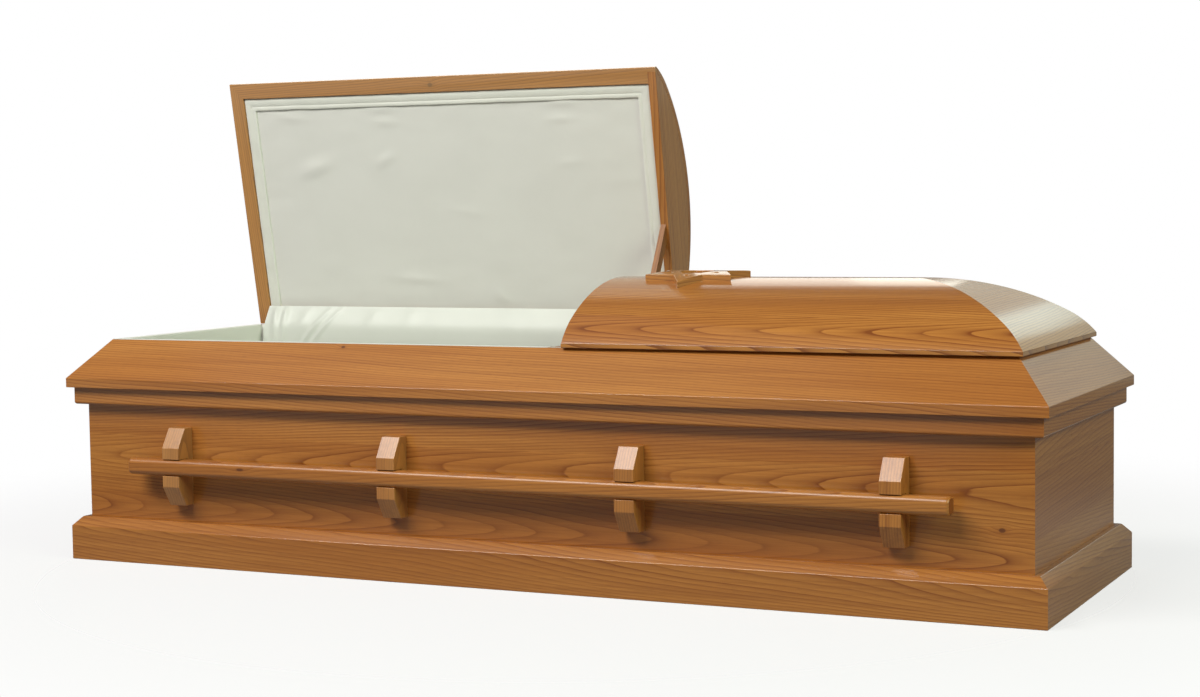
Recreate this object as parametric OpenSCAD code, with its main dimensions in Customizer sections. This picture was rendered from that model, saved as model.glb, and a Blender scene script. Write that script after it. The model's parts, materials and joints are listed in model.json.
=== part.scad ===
// Half-couch wooden casket: a mitred box on a bevelled base, a sloping rim, a fixed-shut
// foot lid with a six-pointed star on it, and a lined head lid held open by a wooden prop.
// Frame: origin at the centre of the underside, +X to the foot end, -Y the front, +Z up.

/* [Box] */
// Length of the box over its walls
box_len = 2040; // [1650:10:2500]
// Width of the box over its walls
box_wid = 624; // [560:2:760]
// Height of the walls, up to the underside of the rim
wall_h = 367; // [300:1:460]
// Thickness of the wall boards
wall_t = 19; // [14:0.5:26]
// Thickness of the floor board
floor_t = 18; // [12:0.5:30]

/* [Base moulding] */
// How far the base stands out from the wall
base_out = 30; // [22:0.5:40]
// Height of the base's upright face
base_h = 71.5; // [50:0.5:95]
// Height of the bevel above that face
base_bevel_h = 19; // [8:0.5:26]
// How far the bevel runs back towards the wall
base_bevel_in = 17.5; // [8:0.5:20]

/* [Band moulding] */
// How far the band under the rim stands out from the wall
band_out = 20.5; // [12:0.5:28]
// Height of the band
band_h = 36; // [24:0.5:50]
// Radius of the band's lower outer edge
band_round = 5; // [2:0.5:10]

/* [Rim] */
// How far the rim's lip stands out from the wall
rim_out = 32.5; // [29:0.5:42]
// Height of the rim's upright lip
rim_lip = 19.5; // [12:0.5:28]
// How far inside the wall's face the slope ends
rim_in = 38.5; // [28:0.5:48]
// Height that the slope climbs
rim_slope_h = 79.5; // [60:0.5:100]
// Width of the flat top inside the slope
rim_flat = 20; // [16:0.5:28]
// Height of the rim's inner edge
rim_nose = 20; // [14:0.5:30]

/* [Lids] */
// Where the two lids part, measured from the middle towards the foot
split_x = 91.2; // [0:0.2:200]
// Gap between the two lids
split_gap = 3; // [2:0.5:5]
// Gap between the lids and the rim's flat top
lid_gap = 0.9; // [0.7:0.05:0.95]
// How far a lid overhangs the flat top
lid_over = 10; // [4:0.5:14]
// How much shorter than its opening the head lid is at the head end
head_trim = 5.5; // [0:0.5:8]
// Height of the lid's upright lip
lid_lip = 8; // [6:0.5:12]
// Rise of the crown above that lip
lid_rise = 118; // [96:1:150]
// Radius of the crown's two shoulders
shoulder_r = 166; // [130:1:200]
// Slope of the crown where it leaves the lip, in degrees
shoulder_edge = 56.2; // [48:0.2:62]
// Thickness of the crown sheet
crown_t = 12; // [9:0.5:16]
// Width of the lid's front and back rails
rail_w = 35; // [28:0.5:44]
// Width of the rail at the lid's outer end
end_rail_w = 33; // [26:0.5:42]
// Height of the lid's rails
rail_h = 20; // [14:0.5:24]
// Thickness of the arched board at the lid's cut end
end_board_t = 18.5; // [14:0.5:24]
// How far the head lid stands open, in degrees
open_angle = 79.6; // [60:0.1:85]

/* [Hinges] */
// Radius of the hinge barrel
barrel_r = 3.5; // [2.8:0.1:4.5]
// Radius of the hinge pin
pin_r = 1.5; // [1.2:0.1:2]
// Running clearance of the pins in what turns on them
pin_fit = 0.06; // [0.02:0.01:0.1]
// Thickness of a hinge leaf
leaf_t = 1.6; // [1.2:0.1:2]
// Width of a hinge leaf, from the pin inwards
leaf_w = 26; // [18:0.5:30]
// Length of a hinge
hinge_len = 100; // [70:1:140]
// Distance of a hinge's middle from the end of the head lid
hinge_inset = 200; // [120:5:320]
// Gap between a hinge leaf and its neighbours
hinge_fit = 0.3; // [0.2:0.05:0.5]

/* [Prop] */
// Width of the prop along the box
prop_w = 12; // [9:0.5:16]
// Depth of the prop
prop_d = 21; // [14:0.5:24]
// Lean of the prop from upright, in degrees
prop_lean = 28.4; // [20:0.2:35]
// Place of the prop's middle before the split
prop_before_split = 13.2; // [11:0.2:18]
// Place of the prop's pin behind the middle of the box
prop_pin_y = 122.8; // [90:0.2:140]
// Depth of the prop's pin below the flat top
prop_pin_drop = 14; // [12:0.5:18]
// Radius of the prop's pin
prop_pin_r = 3; // [2:0.1:4]
// Clearance between the prop and what it meets
prop_fit = 1.2; // [0.8:0.1:2]
// Clearance between the prop's tip and the open lid
prop_tip_fit = 0.3; // [0.1:0.05:0.5]
// Width of the bridge board under the split
bridge_w = 64; // [56:1:90]
// Height of the bridge board
bridge_h = 34; // [32:1:48]

/* [Handles] */
// Height of the bar's middle above the ground
bar_z = 208; // [180:1:250]
// Height of the bar
bar_h = 34; // [26:0.5:42]
// Depth of the bar
bar_d = 34; // [26:0.5:42]
// Radius of the bar's long edges
bar_round = 11; // [3:0.5:14]
// Length of the bar
bar_len = 1764; // [1700:2:1900]
// Finger room between the bar and the wall
bar_gap = 18; // [15:0.5:30]
// Distance between the brackets
bracket_pitch = 516; // [430:2:560]
// Width of a bracket
bracket_w = 41; // [32:0.5:50]
// Depth of a bracket
bracket_d = 49.5; // [42:0.5:60]
// Height of a bracket
bracket_h = 161.5; // [130:0.5:195]
// Height of a bracket's upright front
bracket_front_h = 80.5; // [62:0.5:98]
// Depth of a bracket's flat top and foot
bracket_flat = 25; // [14:0.5:32]
// Clearance of the bar in its notch
notch_fit = 0.3; // [0.1:0.05:0.6]

/* [Star] */
// Radius of the star's points
star_r = 106; // [80:1:125]
// Width of the star's strips
star_strip = 19.5; // [14:0.5:22]
// Thickness of the star
star_t = 12.4; // [8:0.2:18]
// Place of the star's middle past the split
star_past_split = 176; // [150:1:400]
// Place of the star's middle, forwards of the ridge
star_forward = 17; // [-30:1:30]

/* [Lining] */
// Thickness of the cloth panels hanging from the rim
lining_t = 3; // [2:0.5:6]
// Thickness of the cloth turned over the rim's flat top
turnover_t = 0.5; // [0.3:0.05:0.6]
// Thickness of the padded floor lining
floor_lining_t = 8; // [4:0.5:30]
// Width of the padded border inside the lids
border_w = 28; // [18:0.5:36]
// Thickness of the padded border
border_t = 5.5; // [3:0.5:8]
// How far the border lies back from the face of the rails
border_back = 1.5; // [0.5:0.1:3]
// Thickness of the lining board inside the lids
panel_t = 3; // [2:0.5:6]
// Thickness of the cloth apron over the hinge line
apron_t = 2; // [1:0.5:3]
// Where the apron starts, up the lid from the hinge
apron_up = 44; // [40:1:60]
// How far the apron falls below the rim's flat top
apron_fall = 136; // [60:1:200]
// Distance of the apron's end from the head lining
apron_end = 10.5; // [4:0.5:30]

/* [Hidden] */
BACKS = ["front", "back"];
rim_top = wall_h + rim_lip + rim_slope_h;
lid_z = rim_top + lid_gap;
lip_z = lid_z + lid_lip;
lid_half = box_wid / 2 - rim_in + lid_over;
foot_end = box_len / 2 - rim_in + lid_over;
head_end = foot_end - head_trim;
foot_cut = split_x + split_gap / 2;
head_cut = -(split_x - split_gap / 2);
inner_half_wid = box_wid / 2 - rim_in - rim_flat;
inner_half_len = box_len / 2 - rim_in - rim_flat;
rim_slope = rim_slope_h / (rim_out + rim_in);
mitre_out = 60;
mitre_in = 90;

// Crown outline: two shoulder arcs that run into one crown arc on the middle line.
shoulder_y = lid_half - shoulder_r * sin(shoulder_edge);
shoulder_z = lip_z - shoulder_r * cos(shoulder_edge);
crown_top = lip_z + lid_rise;
shoulder_drop = crown_top - shoulder_z;
crown_r = (pow(shoulder_drop, 2) + pow(shoulder_y, 2) - pow(shoulder_r, 2))
    / (2 * (shoulder_drop - shoulder_r));
crown_z = crown_top - crown_r;
join_angle = asin(shoulder_y / (crown_r - shoulder_r));
CROWN_STEPS = 10;
SHOULDER_STEPS = 7;

hinge_y = lid_half;
hinge_z = rim_top + lid_gap / 2;
leaf_gap = 0.25;
KNUCKLES = 5;
knuckle_pitch = hinge_len / KNUCKLES;
head_hinge_x = -head_end + hinge_inset;
split_hinge_x = -head_cut - hinge_inset;

prop_x = split_x - prop_before_split;
prop_pin_z = rim_top - prop_pin_drop;
groove_half = prop_w / 2 + prop_fit;
bridge_x0 = split_x - bridge_w / 2;
bridge_x1 = split_x + bridge_w / 2;
pin_bite = 9;

star_x = split_x + star_past_split;

module oak() { color([0.66, 0.41, 0.2]) children(); }
module cloth() { color([0.87, 0.88, 0.84]) children(); }
module brass() { color([0.72, 0.6, 0.35]) children(); }

// ---- outlines -------------------------------------------------------------

// Outline of the crown at a distance out from its outer face, from +Y over to -Y.
function crown_half(out) = concat(
    [for (i = [0 : SHOULDER_STEPS])
        let (a = shoulder_edge + (join_angle - shoulder_edge) * i / SHOULDER_STEPS)
        [shoulder_y + (shoulder_r + out) * sin(a), shoulder_z + (shoulder_r + out) * cos(a)]],
    [for (i = [1 : CROWN_STEPS])
        let (a = join_angle * (1 - i / CROWN_STEPS))
        [(crown_r + out) * sin(a), crown_z + (crown_r + out) * cos(a)]]);

function reversed(points) = [for (i = [len(points) - 2 : -1 : 0]) points[i]];

function flipped(points) = [for (p = points) [-p[0], p[1]]];

module crown_region(out) {
    half = crown_half(out);
    bottom = lip_z - shoulder_r;
    polygon(concat([[half[0][0], bottom]], half, flipped(reversed(half)), [[-half[0][0], bottom]]));
}

// The crown sheet in section: between its two faces, above the lip.
module crown_sheet_section() {
    intersection() {
        difference() {
            crown_region(0);
            crown_region(-crown_t);
        }
        translate([-lid_half, lip_z]) square([2 * lid_half, lid_rise + 1]);
    }
}

// What lies inside the crown sheet, with the slab that makes the lip below it.
module under_crown_section() {
    intersection() {
        crown_region(-crown_t);
        translate([-lid_half, lid_z]) square([2 * lid_half, lid_rise + lid_lip]);
    }
}

module rounded_bar_section() {
    square([bar_d - 2 * bar_round, bar_h], center = true);
    square([bar_d, bar_h - 2 * bar_round], center = true);
    for (sy = [-1, 1], sz = [-1, 1])
        translate([sy * (bar_d / 2 - bar_round), sz * (bar_h / 2 - bar_round)])
            circle(r = bar_round, $fn = 48);
}

function star_point(i, reach) = [reach * cos(60 * i + 30), reach * sin(60 * i + 30)];

module triangle(reach, turn) {
    polygon([for (i = [0 : 2]) star_point(2 * i + turn, reach)]);
}

// Two crossed triangular rings of flat strip.
module star_outline() {
    for (turn = [0, 1])
        difference() {
            triangle(star_r, turn);
            triangle(star_r - 2 * star_strip, turn);
        }
}

// ---- placing --------------------------------------------------------------

// Extrudes a (y, z) section along X.
module along_x(x0, x1) {
    translate([x0, 0, 0]) rotate([90, 0, 90]) linear_extrude(x1 - x0) children();
}

// Runs an (out, z) section along the front of the box, mitred at both corners.
module front_run() {
    reach = box_len / 2 + mitre_out;
    intersection() {
        translate([reach, -box_wid / 2, 0]) rotate([90, 0, -90]) linear_extrude(2 * reach) children();
        linear_extrude(crown_top) polygon([
            [-box_len / 2 - mitre_out, -box_wid / 2 - mitre_out],
            [box_len / 2 + mitre_out, -box_wid / 2 - mitre_out],
            [box_len / 2 - mitre_in, -box_wid / 2 + mitre_in],
            [-box_len / 2 + mitre_in, -box_wid / 2 + mitre_in]]);
    }
}

// Runs an (out, z) section along the foot end of the box, mitred at both corners.
module foot_run() {
    reach = box_wid / 2 + mitre_out;
    intersection() {
        translate([box_len / 2, reach, 0]) rotate([90, 0, 0]) linear_extrude(2 * reach) children();
        linear_extrude(crown_top) polygon([
            [box_len / 2 + mitre_out, -box_wid / 2 - mitre_out],
            [box_len / 2 + mitre_out, box_wid / 2 + mitre_out],
            [box_len / 2 - mitre_in, box_wid / 2 - mitre_in],
            [box_len / 2 - mitre_in, -box_wid / 2 + mitre_in]]);
    }
}

module side_run(side) {
    if (side == "front") front_run() children();
    if (side == "back") rotate([0, 0, 180]) front_run() children();
    if (side == "foot") foot_run() children();
    if (side == "head") rotate([0, 0, 180]) foot_run() children();
}

// Puts a piece drawn on the closed head lid where the open lid holds it.
module opened() {
    translate([0, hinge_y, hinge_z]) rotate([-open_angle, 0, 0]) translate([0, -hinge_y, -hinge_z])
        children();
}

// Puts a piece drawn on a lid that runs towards +X onto the head lid, which runs the other way.
module on_head_lid() {
    opened() mirror([1, 0, 0]) children();
}

// ---- box ------------------------------------------------------------------

module floor_board() {
    size = [box_len - 2 * wall_t, box_wid - 2 * wall_t, floor_t];
    oak() translate([-size[0] / 2, -size[1] / 2, 0]) cube(size);
}

module wall(side) {
    oak() side_run(side) translate([-wall_t, 0]) square([wall_t, wall_h]);
}

module base_moulding(side) {
    oak() side_run(side) polygon([
        [0, 0], [base_out, 0], [base_out, base_h],
        [base_out - base_bevel_in, base_h + base_bevel_h], [0, base_h + base_bevel_h]]);
}

module band_moulding(side) {
    oak() side_run(side) translate([0, wall_h - band_h]) {
        translate([0, band_round]) square([band_out, band_h - band_round]);
        square([band_out - band_round, band_h]);
        translate([band_out - band_round, band_round]) circle(r = band_round, $fn = 48);
    }
}

module rim_section() {
    polygon([
        [rim_out, wall_h], [rim_out, wall_h + rim_lip], [-rim_in, rim_top],
        [-rim_in - rim_flat, rim_top], [-rim_in - rim_flat, rim_top - rim_nose],
        [-wall_t, rim_top - rim_nose - rim_slope * (rim_in + rim_flat - wall_t)],
        [-wall_t, wall_h]]);
}

module rim(side) {
    oak() difference() {
        side_run(side) rim_section();
        if (side == "back")
            for (x = [head_hinge_x, split_hinge_x]) fixed_leaf_pocket(x);
    }
}

// ---- bridge and prop ------------------------------------------------------

// How far up the prop its tip reaches, at a distance forwards of its middle line.
function prop_reach(forward) =
    let (along = sin(prop_lean) * sin(open_angle) + cos(prop_lean) * cos(open_angle),
         across = cos(prop_lean) * sin(open_angle) - sin(prop_lean) * cos(open_angle),
         back = (hinge_y - prop_pin_y) * sin(open_angle) + (hinge_z - prop_pin_z) * cos(open_angle))
    (lid_gap / 2 - prop_tip_fit + back + forward * across) / along;

module prop() {
    tip_front = prop_reach(prop_d / 2);
    tip_back = prop_reach(-prop_d / 2);
    oak() difference() {
        along_x(prop_x - prop_w / 2, prop_x + prop_w / 2)
            translate([prop_pin_y, prop_pin_z]) rotate(90 - prop_lean) {
                circle(d = prop_d, $fn = 64);
                polygon([[0, -prop_d / 2], [tip_back, -prop_d / 2], [tip_front, prop_d / 2],
                    [0, prop_d / 2]]);
            }
        translate([prop_x - prop_w, prop_pin_y, prop_pin_z]) rotate([0, 90, 0])
            cylinder(r = prop_pin_r + pin_fit, h = 2 * prop_w, $fn = 48);
    }
}

module prop_pin() {
    brass() translate([bridge_x0, prop_pin_y, prop_pin_z]) rotate([0, 90, 0])
        cylinder(r = prop_pin_r, h = prop_x + groove_half + pin_bite - bridge_x0, $fn = 48);
}

// The prop folds forwards into the bridge's groove, below the closed lid.
module bridge() {
    groove_z = prop_pin_z - prop_d / 2 - prop_fit;
    groove_front = prop_pin_y - prop_reach(prop_d / 2) - 2 * prop_fit;
    groove_back = prop_pin_y + prop_pin_drop * tan(prop_lean) + prop_d / 2 / cos(prop_lean) + prop_fit;
    oak() difference() {
        translate([bridge_x0, -inner_half_wid, rim_top - bridge_h])
            cube([bridge_w, 2 * inner_half_wid, bridge_h]);
        translate([prop_x - groove_half, groove_front, groove_z])
            cube([2 * groove_half, groove_back - groove_front, rim_top - groove_z + 1]);
        translate([bridge_x0 - 1, prop_pin_y, prop_pin_z]) rotate([0, 90, 0])
            cylinder(r = prop_pin_r, h = prop_x + groove_half + pin_bite - bridge_x0 + 1, $fn = 48);
    }
}

// ---- handles --------------------------------------------------------------

module at_side(side) {
    if (side == "front") children();
    if (side == "back") mirror([0, 1, 0]) children();
}

module bracket(side, index) {
    x = (index - 2.5) * bracket_pitch;
    notch_h = bar_h + 2 * notch_fit;
    oak() at_side(side) along_x(x - bracket_w / 2, x + bracket_w / 2)
        translate([-box_wid / 2, bar_z]) mirror([1, 0]) difference() {
            polygon([
                [0, -bracket_h / 2], [bracket_flat, -bracket_h / 2],
                [bracket_d, -bracket_front_h / 2], [bracket_d, bracket_front_h / 2],
                [bracket_flat, bracket_h / 2], [0, bracket_h / 2]]);
            translate([bar_gap, -notch_h / 2]) square([bracket_d, notch_h]);
        }
}

module handle_bar(side) {
    oak() at_side(side) along_x(-bar_len / 2, bar_len / 2)
        translate([-box_wid / 2 - bar_gap - bar_d / 2, bar_z]) rounded_bar_section();
}

// ---- lids -----------------------------------------------------------------
// A lid is drawn shut, running from its cut end towards +X to its hipped end.

module hip_plan(end) {
    reach = lid_half;
    polygon([[end, -reach], [end, reach], [end - reach, 0]]);
}

module lid_crown(cut, end) {
    difference() {
        along_x(cut, end) crown_sheet_section();
        translate([0, 0, lid_z]) linear_extrude(lid_lip + lid_rise + 1)
            polygon([[end - lid_half, 0], [end + 1, -lid_half - 1], [end + 1, lid_half + 1]]);
    }
}

// The same sheet seen from the end: it meets the crown in two mitres.
module lid_hip(end) {
    intersection() {
        translate([end - lid_half, lid_half, 0]) rotate([90, 0, 0])
            linear_extrude(2 * lid_half) crown_sheet_section();
        translate([0, 0, lid_z]) linear_extrude(lid_lip + lid_rise + 1) hip_plan(end);
    }
}

module lid_end_board(cut) {
    along_x(cut, cut + end_board_t) under_crown_section();
}

// The rail's section lies inside the crown sheet and carries the lip under it.
module rail_section(width) {
    intersection() {
        union() {
            under_crown_section();
            translate([0, lid_z]) square([lid_half, lid_lip]);
        }
        translate([lid_half - width, lid_z]) square([width, rail_h]);
    }
}

module lid_rail_back(cut, end) {
    difference() {
        intersection() {
            along_x(cut, end) rail_section(rail_w);
            translate([0, 0, lid_z]) linear_extrude(rail_h)
                polygon([[cut, 0], [end - lid_half, 0], [end, lid_half], [cut, lid_half]]);
        }
        lid_end_board(cut);
    }
}

module lid_rail_end(end) {
    intersection() {
        translate([end - lid_half, lid_half, 0]) rotate([90, 0, 0])
            linear_extrude(2 * lid_half) rail_section(end_rail_w);
        translate([0, 0, lid_z]) linear_extrude(rail_h) hip_plan(end);
    }
}

// A flat sheet inside the rails, its lower face at a height above them.
module lid_inside(cut, end, z, t, inset = 0) {
    x0 = cut + end_board_t + inset;
    x1 = end - end_rail_w - inset;
    half = lid_half - rail_w - inset;
    translate([x0, -half, z]) cube([x1 - x0, 2 * half, t]);
}

module lid_lining(cut, end) {
    lid_inside(cut, end, lid_z + border_back + border_t, panel_t);
}

// The border runs round three sides: the apron covers the fourth, along the hinges.
module lid_border(cut, end) {
    difference() {
        lid_inside(cut, end, lid_z + border_back, border_t);
        for (back = [0, border_w])
            translate([0, back, 0]) lid_inside(cut, end, lid_z, 2 * border_t, border_w);
    }
}

module foot_lid_crown() { oak() lid_crown(foot_cut, foot_end); }
module foot_lid_hip() { oak() lid_hip(foot_end); }
module foot_lid_end_board() { oak() lid_end_board(foot_cut); }
module foot_lid_rail_back() { oak() lid_rail_back(foot_cut, foot_end); }
module foot_lid_rail_front() { oak() mirror([0, 1, 0]) lid_rail_back(foot_cut, foot_end); }
module foot_lid_rail_end() { oak() lid_rail_end(foot_end); }
module foot_lid_lining() { cloth() lid_lining(foot_cut, foot_end); }

module head_lid_crown() { oak() on_head_lid() lid_crown(head_cut, head_end); }
module head_lid_hip() { oak() on_head_lid() lid_hip(head_end); }
module head_lid_end_board() { oak() on_head_lid() lid_end_board(head_cut); }
module head_lid_rail_front() {
    oak() on_head_lid() mirror([0, 1, 0]) lid_rail_back(head_cut, head_end);
}
module head_lid_rail_back() {
    oak() difference() {
        on_head_lid() lid_rail_back(head_cut, head_end);
        opened() for (x = [head_hinge_x, split_hinge_x]) moving_leaf_pocket(x);
    }
}
module head_lid_rail_end() { oak() on_head_lid() lid_rail_end(head_end); }
module head_lid_lining() { cloth() on_head_lid() lid_lining(head_cut, head_end); }
module head_lid_border() { cloth() on_head_lid() lid_border(head_cut, head_end); }

module star() {
    oak() intersection() {
        translate([star_x, -star_forward, lid_z]) linear_extrude(lid_rise + lid_lip + star_t + 1)
            star_outline();
        along_x(star_x - star_r, star_x + star_r) difference() {
            crown_region(star_t);
            crown_region(0);
        }
    }
}

// ---- hinges ---------------------------------------------------------------

module knuckle(x, index) {
    x0 = x - hinge_len / 2 + index * knuckle_pitch;
    translate([x0 + hinge_fit / 2, hinge_y, hinge_z]) rotate([0, 90, 0])
        cylinder(r = barrel_r, h = knuckle_pitch - hinge_fit, $fn = 48);
}

module pin_hole(x, r) {
    translate([x - hinge_len, hinge_y, hinge_z]) rotate([0, 90, 0])
        cylinder(r = r, h = 2 * hinge_len, $fn = 48);
}

// A leaf in the shut position; level is the height of its lower face, first its first knuckle.
module leaf(x, level, first, r) {
    difference() {
        union() {
            translate([x - hinge_len / 2, hinge_y - leaf_w, level])
                cube([hinge_len, leaf_w - barrel_r - hinge_fit, leaf_t]);
            for (k = [first : 2 : KNUCKLES - 1]) {
                knuckle(x, k);
                translate([x - hinge_len / 2 + k * knuckle_pitch + hinge_fit / 2,
                    hinge_y - leaf_w / 2, level])
                    cube([knuckle_pitch - hinge_fit, leaf_w / 2, leaf_t]);
            }
        }
        pin_hole(x, r);
    }
}

module hinge_leaf_fixed(x) {
    brass() leaf(x, hinge_z - leaf_gap - leaf_t, 0, pin_r);
}

module hinge_leaf_moving(x) {
    brass() opened() leaf(x, hinge_z + leaf_gap, 1, pin_r + pin_fit);
}

module hinge_pin(x) {
    brass() translate([x - hinge_len / 2, hinge_y, hinge_z]) rotate([0, 90, 0])
        cylinder(r = pin_r, h = hinge_len, $fn = 48);
}

// The recess a leaf lies in, open towards the barrel.
module leaf_pocket(x, level) {
    translate([x - hinge_len / 2 - hinge_fit, hinge_y - leaf_w - hinge_fit, level])
        cube([hinge_len + 2 * hinge_fit, leaf_w + barrel_r, leaf_t + lid_gap]);
}

module barrel_pocket(x) {
    translate([x - hinge_len / 2 - hinge_fit, hinge_y, hinge_z]) rotate([0, 90, 0])
        cylinder(r = barrel_r + hinge_fit, h = hinge_len + 2 * hinge_fit, $fn = 48);
}

module fixed_leaf_pocket(x) {
    leaf_pocket(x, hinge_z - leaf_gap - leaf_t);
    barrel_pocket(x);
}

module moving_leaf_pocket(x) {
    leaf_pocket(x, hinge_z + leaf_gap - lid_gap);
    barrel_pocket(x);
}

// ---- cloth ----------------------------------------------------------------

// The bridge's ends pass through the hanging cloth.
module bridge_passage() {
    translate([bridge_x0 - 1, -inner_half_wid - 1, rim_top - bridge_h - 1])
        cube([bridge_w + 2, 2 * inner_half_wid + 2, bridge_h + 3]);
}

// Cloth hung from the rim's inner edge down to the floor lining.
module lining_section(turned_over) {
    translate([-rim_in - rim_flat - lining_t, floor_t + floor_lining_t])
        square([lining_t, rim_top - floor_t - floor_lining_t]);
    if (turned_over)
        translate([-rim_in - rim_flat - lining_t, rim_top]) square([rim_flat + lining_t, turnover_t]);
}

module lining_front() {
    cloth() difference() {
        front_run() lining_section(true);
        bridge_passage();
        translate([bridge_x0, -box_wid / 2, rim_top]) cube([box_len / 2, box_wid, 2 * turnover_t]);
    }
}

module lining_back() {
    cloth() difference() {
        rotate([0, 0, 180]) front_run() lining_section(false);
        bridge_passage();
    }
}

module lining_head() {
    cloth() rotate([0, 0, 180]) foot_run() lining_section(true);
}

module lining_foot() {
    cloth() foot_run() lining_section(false);
}

module lining_floor() {
    size = [2 * inner_half_len, 2 * inner_half_wid, floor_lining_t];
    cloth() translate([-size[0] / 2, -size[1] / 2, floor_t]) cube(size);
}

// Cloth from the lid, over the back rim's inner edge and down into the box.
module lid_apron() {
    stand_off = apron_t / 2 + 1;
    top = [hinge_y - apron_up * cos(open_angle) - stand_off * sin(open_angle),
        hinge_z + apron_up * sin(open_angle) - stand_off * cos(open_angle)];
    edge = [inner_half_wid - lining_t - apron_t, rim_top];
    fall = [inner_half_wid - lining_t - 4 * apron_t, rim_top - apron_fall / 4];
    line = [top, edge, fall, [fall[0], rim_top - apron_fall]];
    front = [for (p = line) [p[0] - apron_t / 2, p[1]]];
    back = [for (i = [len(line) - 1 : -1 : 0]) [line[i][0] + apron_t / 2, line[i][1]]];
    cloth() along_x(-inner_half_len + apron_end, bridge_x0 - lining_t) polygon(concat(front, back));
}

// ---- nodes ----------------------------------------------------------------

floor_board();
for (side = ["front", "back", "head", "foot"]) {
    wall(side);
    base_moulding(side);
    band_moulding(side);
    rim(side);
}
bridge();
for (side = BACKS, index = [1 : 4])
    bracket(side, index);
for (side = BACKS)
    handle_bar(side);
lining_front();
lining_back();
lining_head();
lining_foot();
lining_floor();
foot_lid_crown();
foot_lid_hip();
foot_lid_end_board();
foot_lid_rail_front();
foot_lid_rail_back();
foot_lid_rail_end();
foot_lid_lining();
star();
hinge_leaf_fixed(head_hinge_x);  // hinge_leaf_fixed_head
hinge_leaf_fixed(split_hinge_x);  // hinge_leaf_fixed_split
hinge_leaf_moving(head_hinge_x);  // hinge_leaf_moving_head
hinge_leaf_moving(split_hinge_x);  // hinge_leaf_moving_split
hinge_pin(head_hinge_x);  // hinge_pin_head
hinge_pin(split_hinge_x);  // hinge_pin_split
head_lid_crown();
head_lid_hip();
head_lid_end_board();
head_lid_rail_front();
head_lid_rail_back();
head_lid_rail_end();
head_lid_lining();
head_lid_border();
lid_apron();
prop();
prop_pin();
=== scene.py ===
# %% [markdown]
# # A half-couch oak casket
#
# The real object is a joiner's piece: mitred mouldings round a plain box, a foot lid that is
# bent over in one long crown, and a head lid that stands open to show its cloth. Every board
# is made here from its own outline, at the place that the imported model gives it, so the work
# is in three things: soft edges on the boards, a believable oak, and cloth that hangs.

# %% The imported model
import json
import math

import bmesh
import bpy
from mathutils import Matrix, Vector, noise


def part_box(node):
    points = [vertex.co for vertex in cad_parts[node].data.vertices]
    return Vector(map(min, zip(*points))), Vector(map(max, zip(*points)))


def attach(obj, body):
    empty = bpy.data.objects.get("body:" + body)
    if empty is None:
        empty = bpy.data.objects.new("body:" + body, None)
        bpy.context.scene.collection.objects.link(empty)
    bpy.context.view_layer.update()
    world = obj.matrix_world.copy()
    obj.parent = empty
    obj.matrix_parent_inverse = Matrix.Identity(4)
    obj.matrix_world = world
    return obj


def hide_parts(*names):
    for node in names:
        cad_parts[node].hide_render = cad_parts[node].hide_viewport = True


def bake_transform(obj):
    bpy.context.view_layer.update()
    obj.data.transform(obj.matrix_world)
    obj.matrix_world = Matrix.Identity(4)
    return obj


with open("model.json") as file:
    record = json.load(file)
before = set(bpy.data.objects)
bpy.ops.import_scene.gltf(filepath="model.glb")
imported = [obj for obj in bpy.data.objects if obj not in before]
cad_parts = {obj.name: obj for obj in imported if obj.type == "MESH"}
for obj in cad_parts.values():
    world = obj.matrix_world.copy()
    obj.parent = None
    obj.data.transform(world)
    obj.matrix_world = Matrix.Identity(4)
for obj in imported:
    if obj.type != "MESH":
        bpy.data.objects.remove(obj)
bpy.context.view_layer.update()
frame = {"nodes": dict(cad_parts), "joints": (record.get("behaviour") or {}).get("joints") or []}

# %% [markdown]
# ## Camera
# A long lens from about four metres keeps the long front nearly straight. The camera stands
# past the foot end, a little above the lids, and is turned in by yaw, pitch and a slight roll.

# %% Camera
CAMERA_PLACE = Vector((1.953, -3.9892, 0.7543))
LENS_MM = 65.03
SENSOR_MM = 36
YAW, PITCH, ROLL = (math.radians(angle) for angle in (25.616, -3.998, -0.798))


def make_camera():
    lens = bpy.data.cameras.new("camera")
    lens.lens, lens.sensor_width = LENS_MM, SENSOR_MM
    camera = bpy.data.objects.new("camera", lens)
    bpy.context.scene.collection.objects.link(camera)
    level = Matrix.Rotation(YAW, 4, "Z") @ Matrix.Rotation(math.radians(90) + PITCH, 4, "X")
    camera.matrix_world = Matrix.Translation(CAMERA_PLACE) @ level @ Matrix.Rotation(ROLL, 4, "Z")
    bpy.context.scene.camera = camera
    return camera


camera = make_camera()
print("camera at", [round(x, 3) for x in camera.location])

# %% [markdown]
# ## Sums on a surface
# A finish is a long sum over the surface: how far a point lies from the heart of its log, how
# much a pore darkens it. Written with bare nodes that sum is unreadable, so a `Field` wraps a
# socket and lets ordinary Python operators add the Math nodes. `Graph.node` makes any other
# node from its type, its settings and what goes into its sockets. A `Finish` is the graph of a
# material: it can read what a mesh stores, and feed its shader.

# %% Fields and finishes
class Field:
    """A shader socket that can be used in sums."""

    def __init__(self, graph, socket):
        self.graph, self.socket = graph, socket

    def __add__(self, other):
        return self.graph.maths("ADD", self, other)

    def __radd__(self, other):
        return self.graph.maths("ADD", other, self)

    def __sub__(self, other):
        return self.graph.maths("SUBTRACT", self, other)

    def __rsub__(self, other):
        return self.graph.maths("SUBTRACT", other, self)

    def __mul__(self, other):
        return self.graph.maths("MULTIPLY", self, other)

    def __rmul__(self, other):
        return self.graph.maths("MULTIPLY", other, self)

    def __truediv__(self, other):
        return self.graph.maths("DIVIDE", self, other)

    def __pow__(self, other):
        return self.graph.maths("POWER", self, other)


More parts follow.
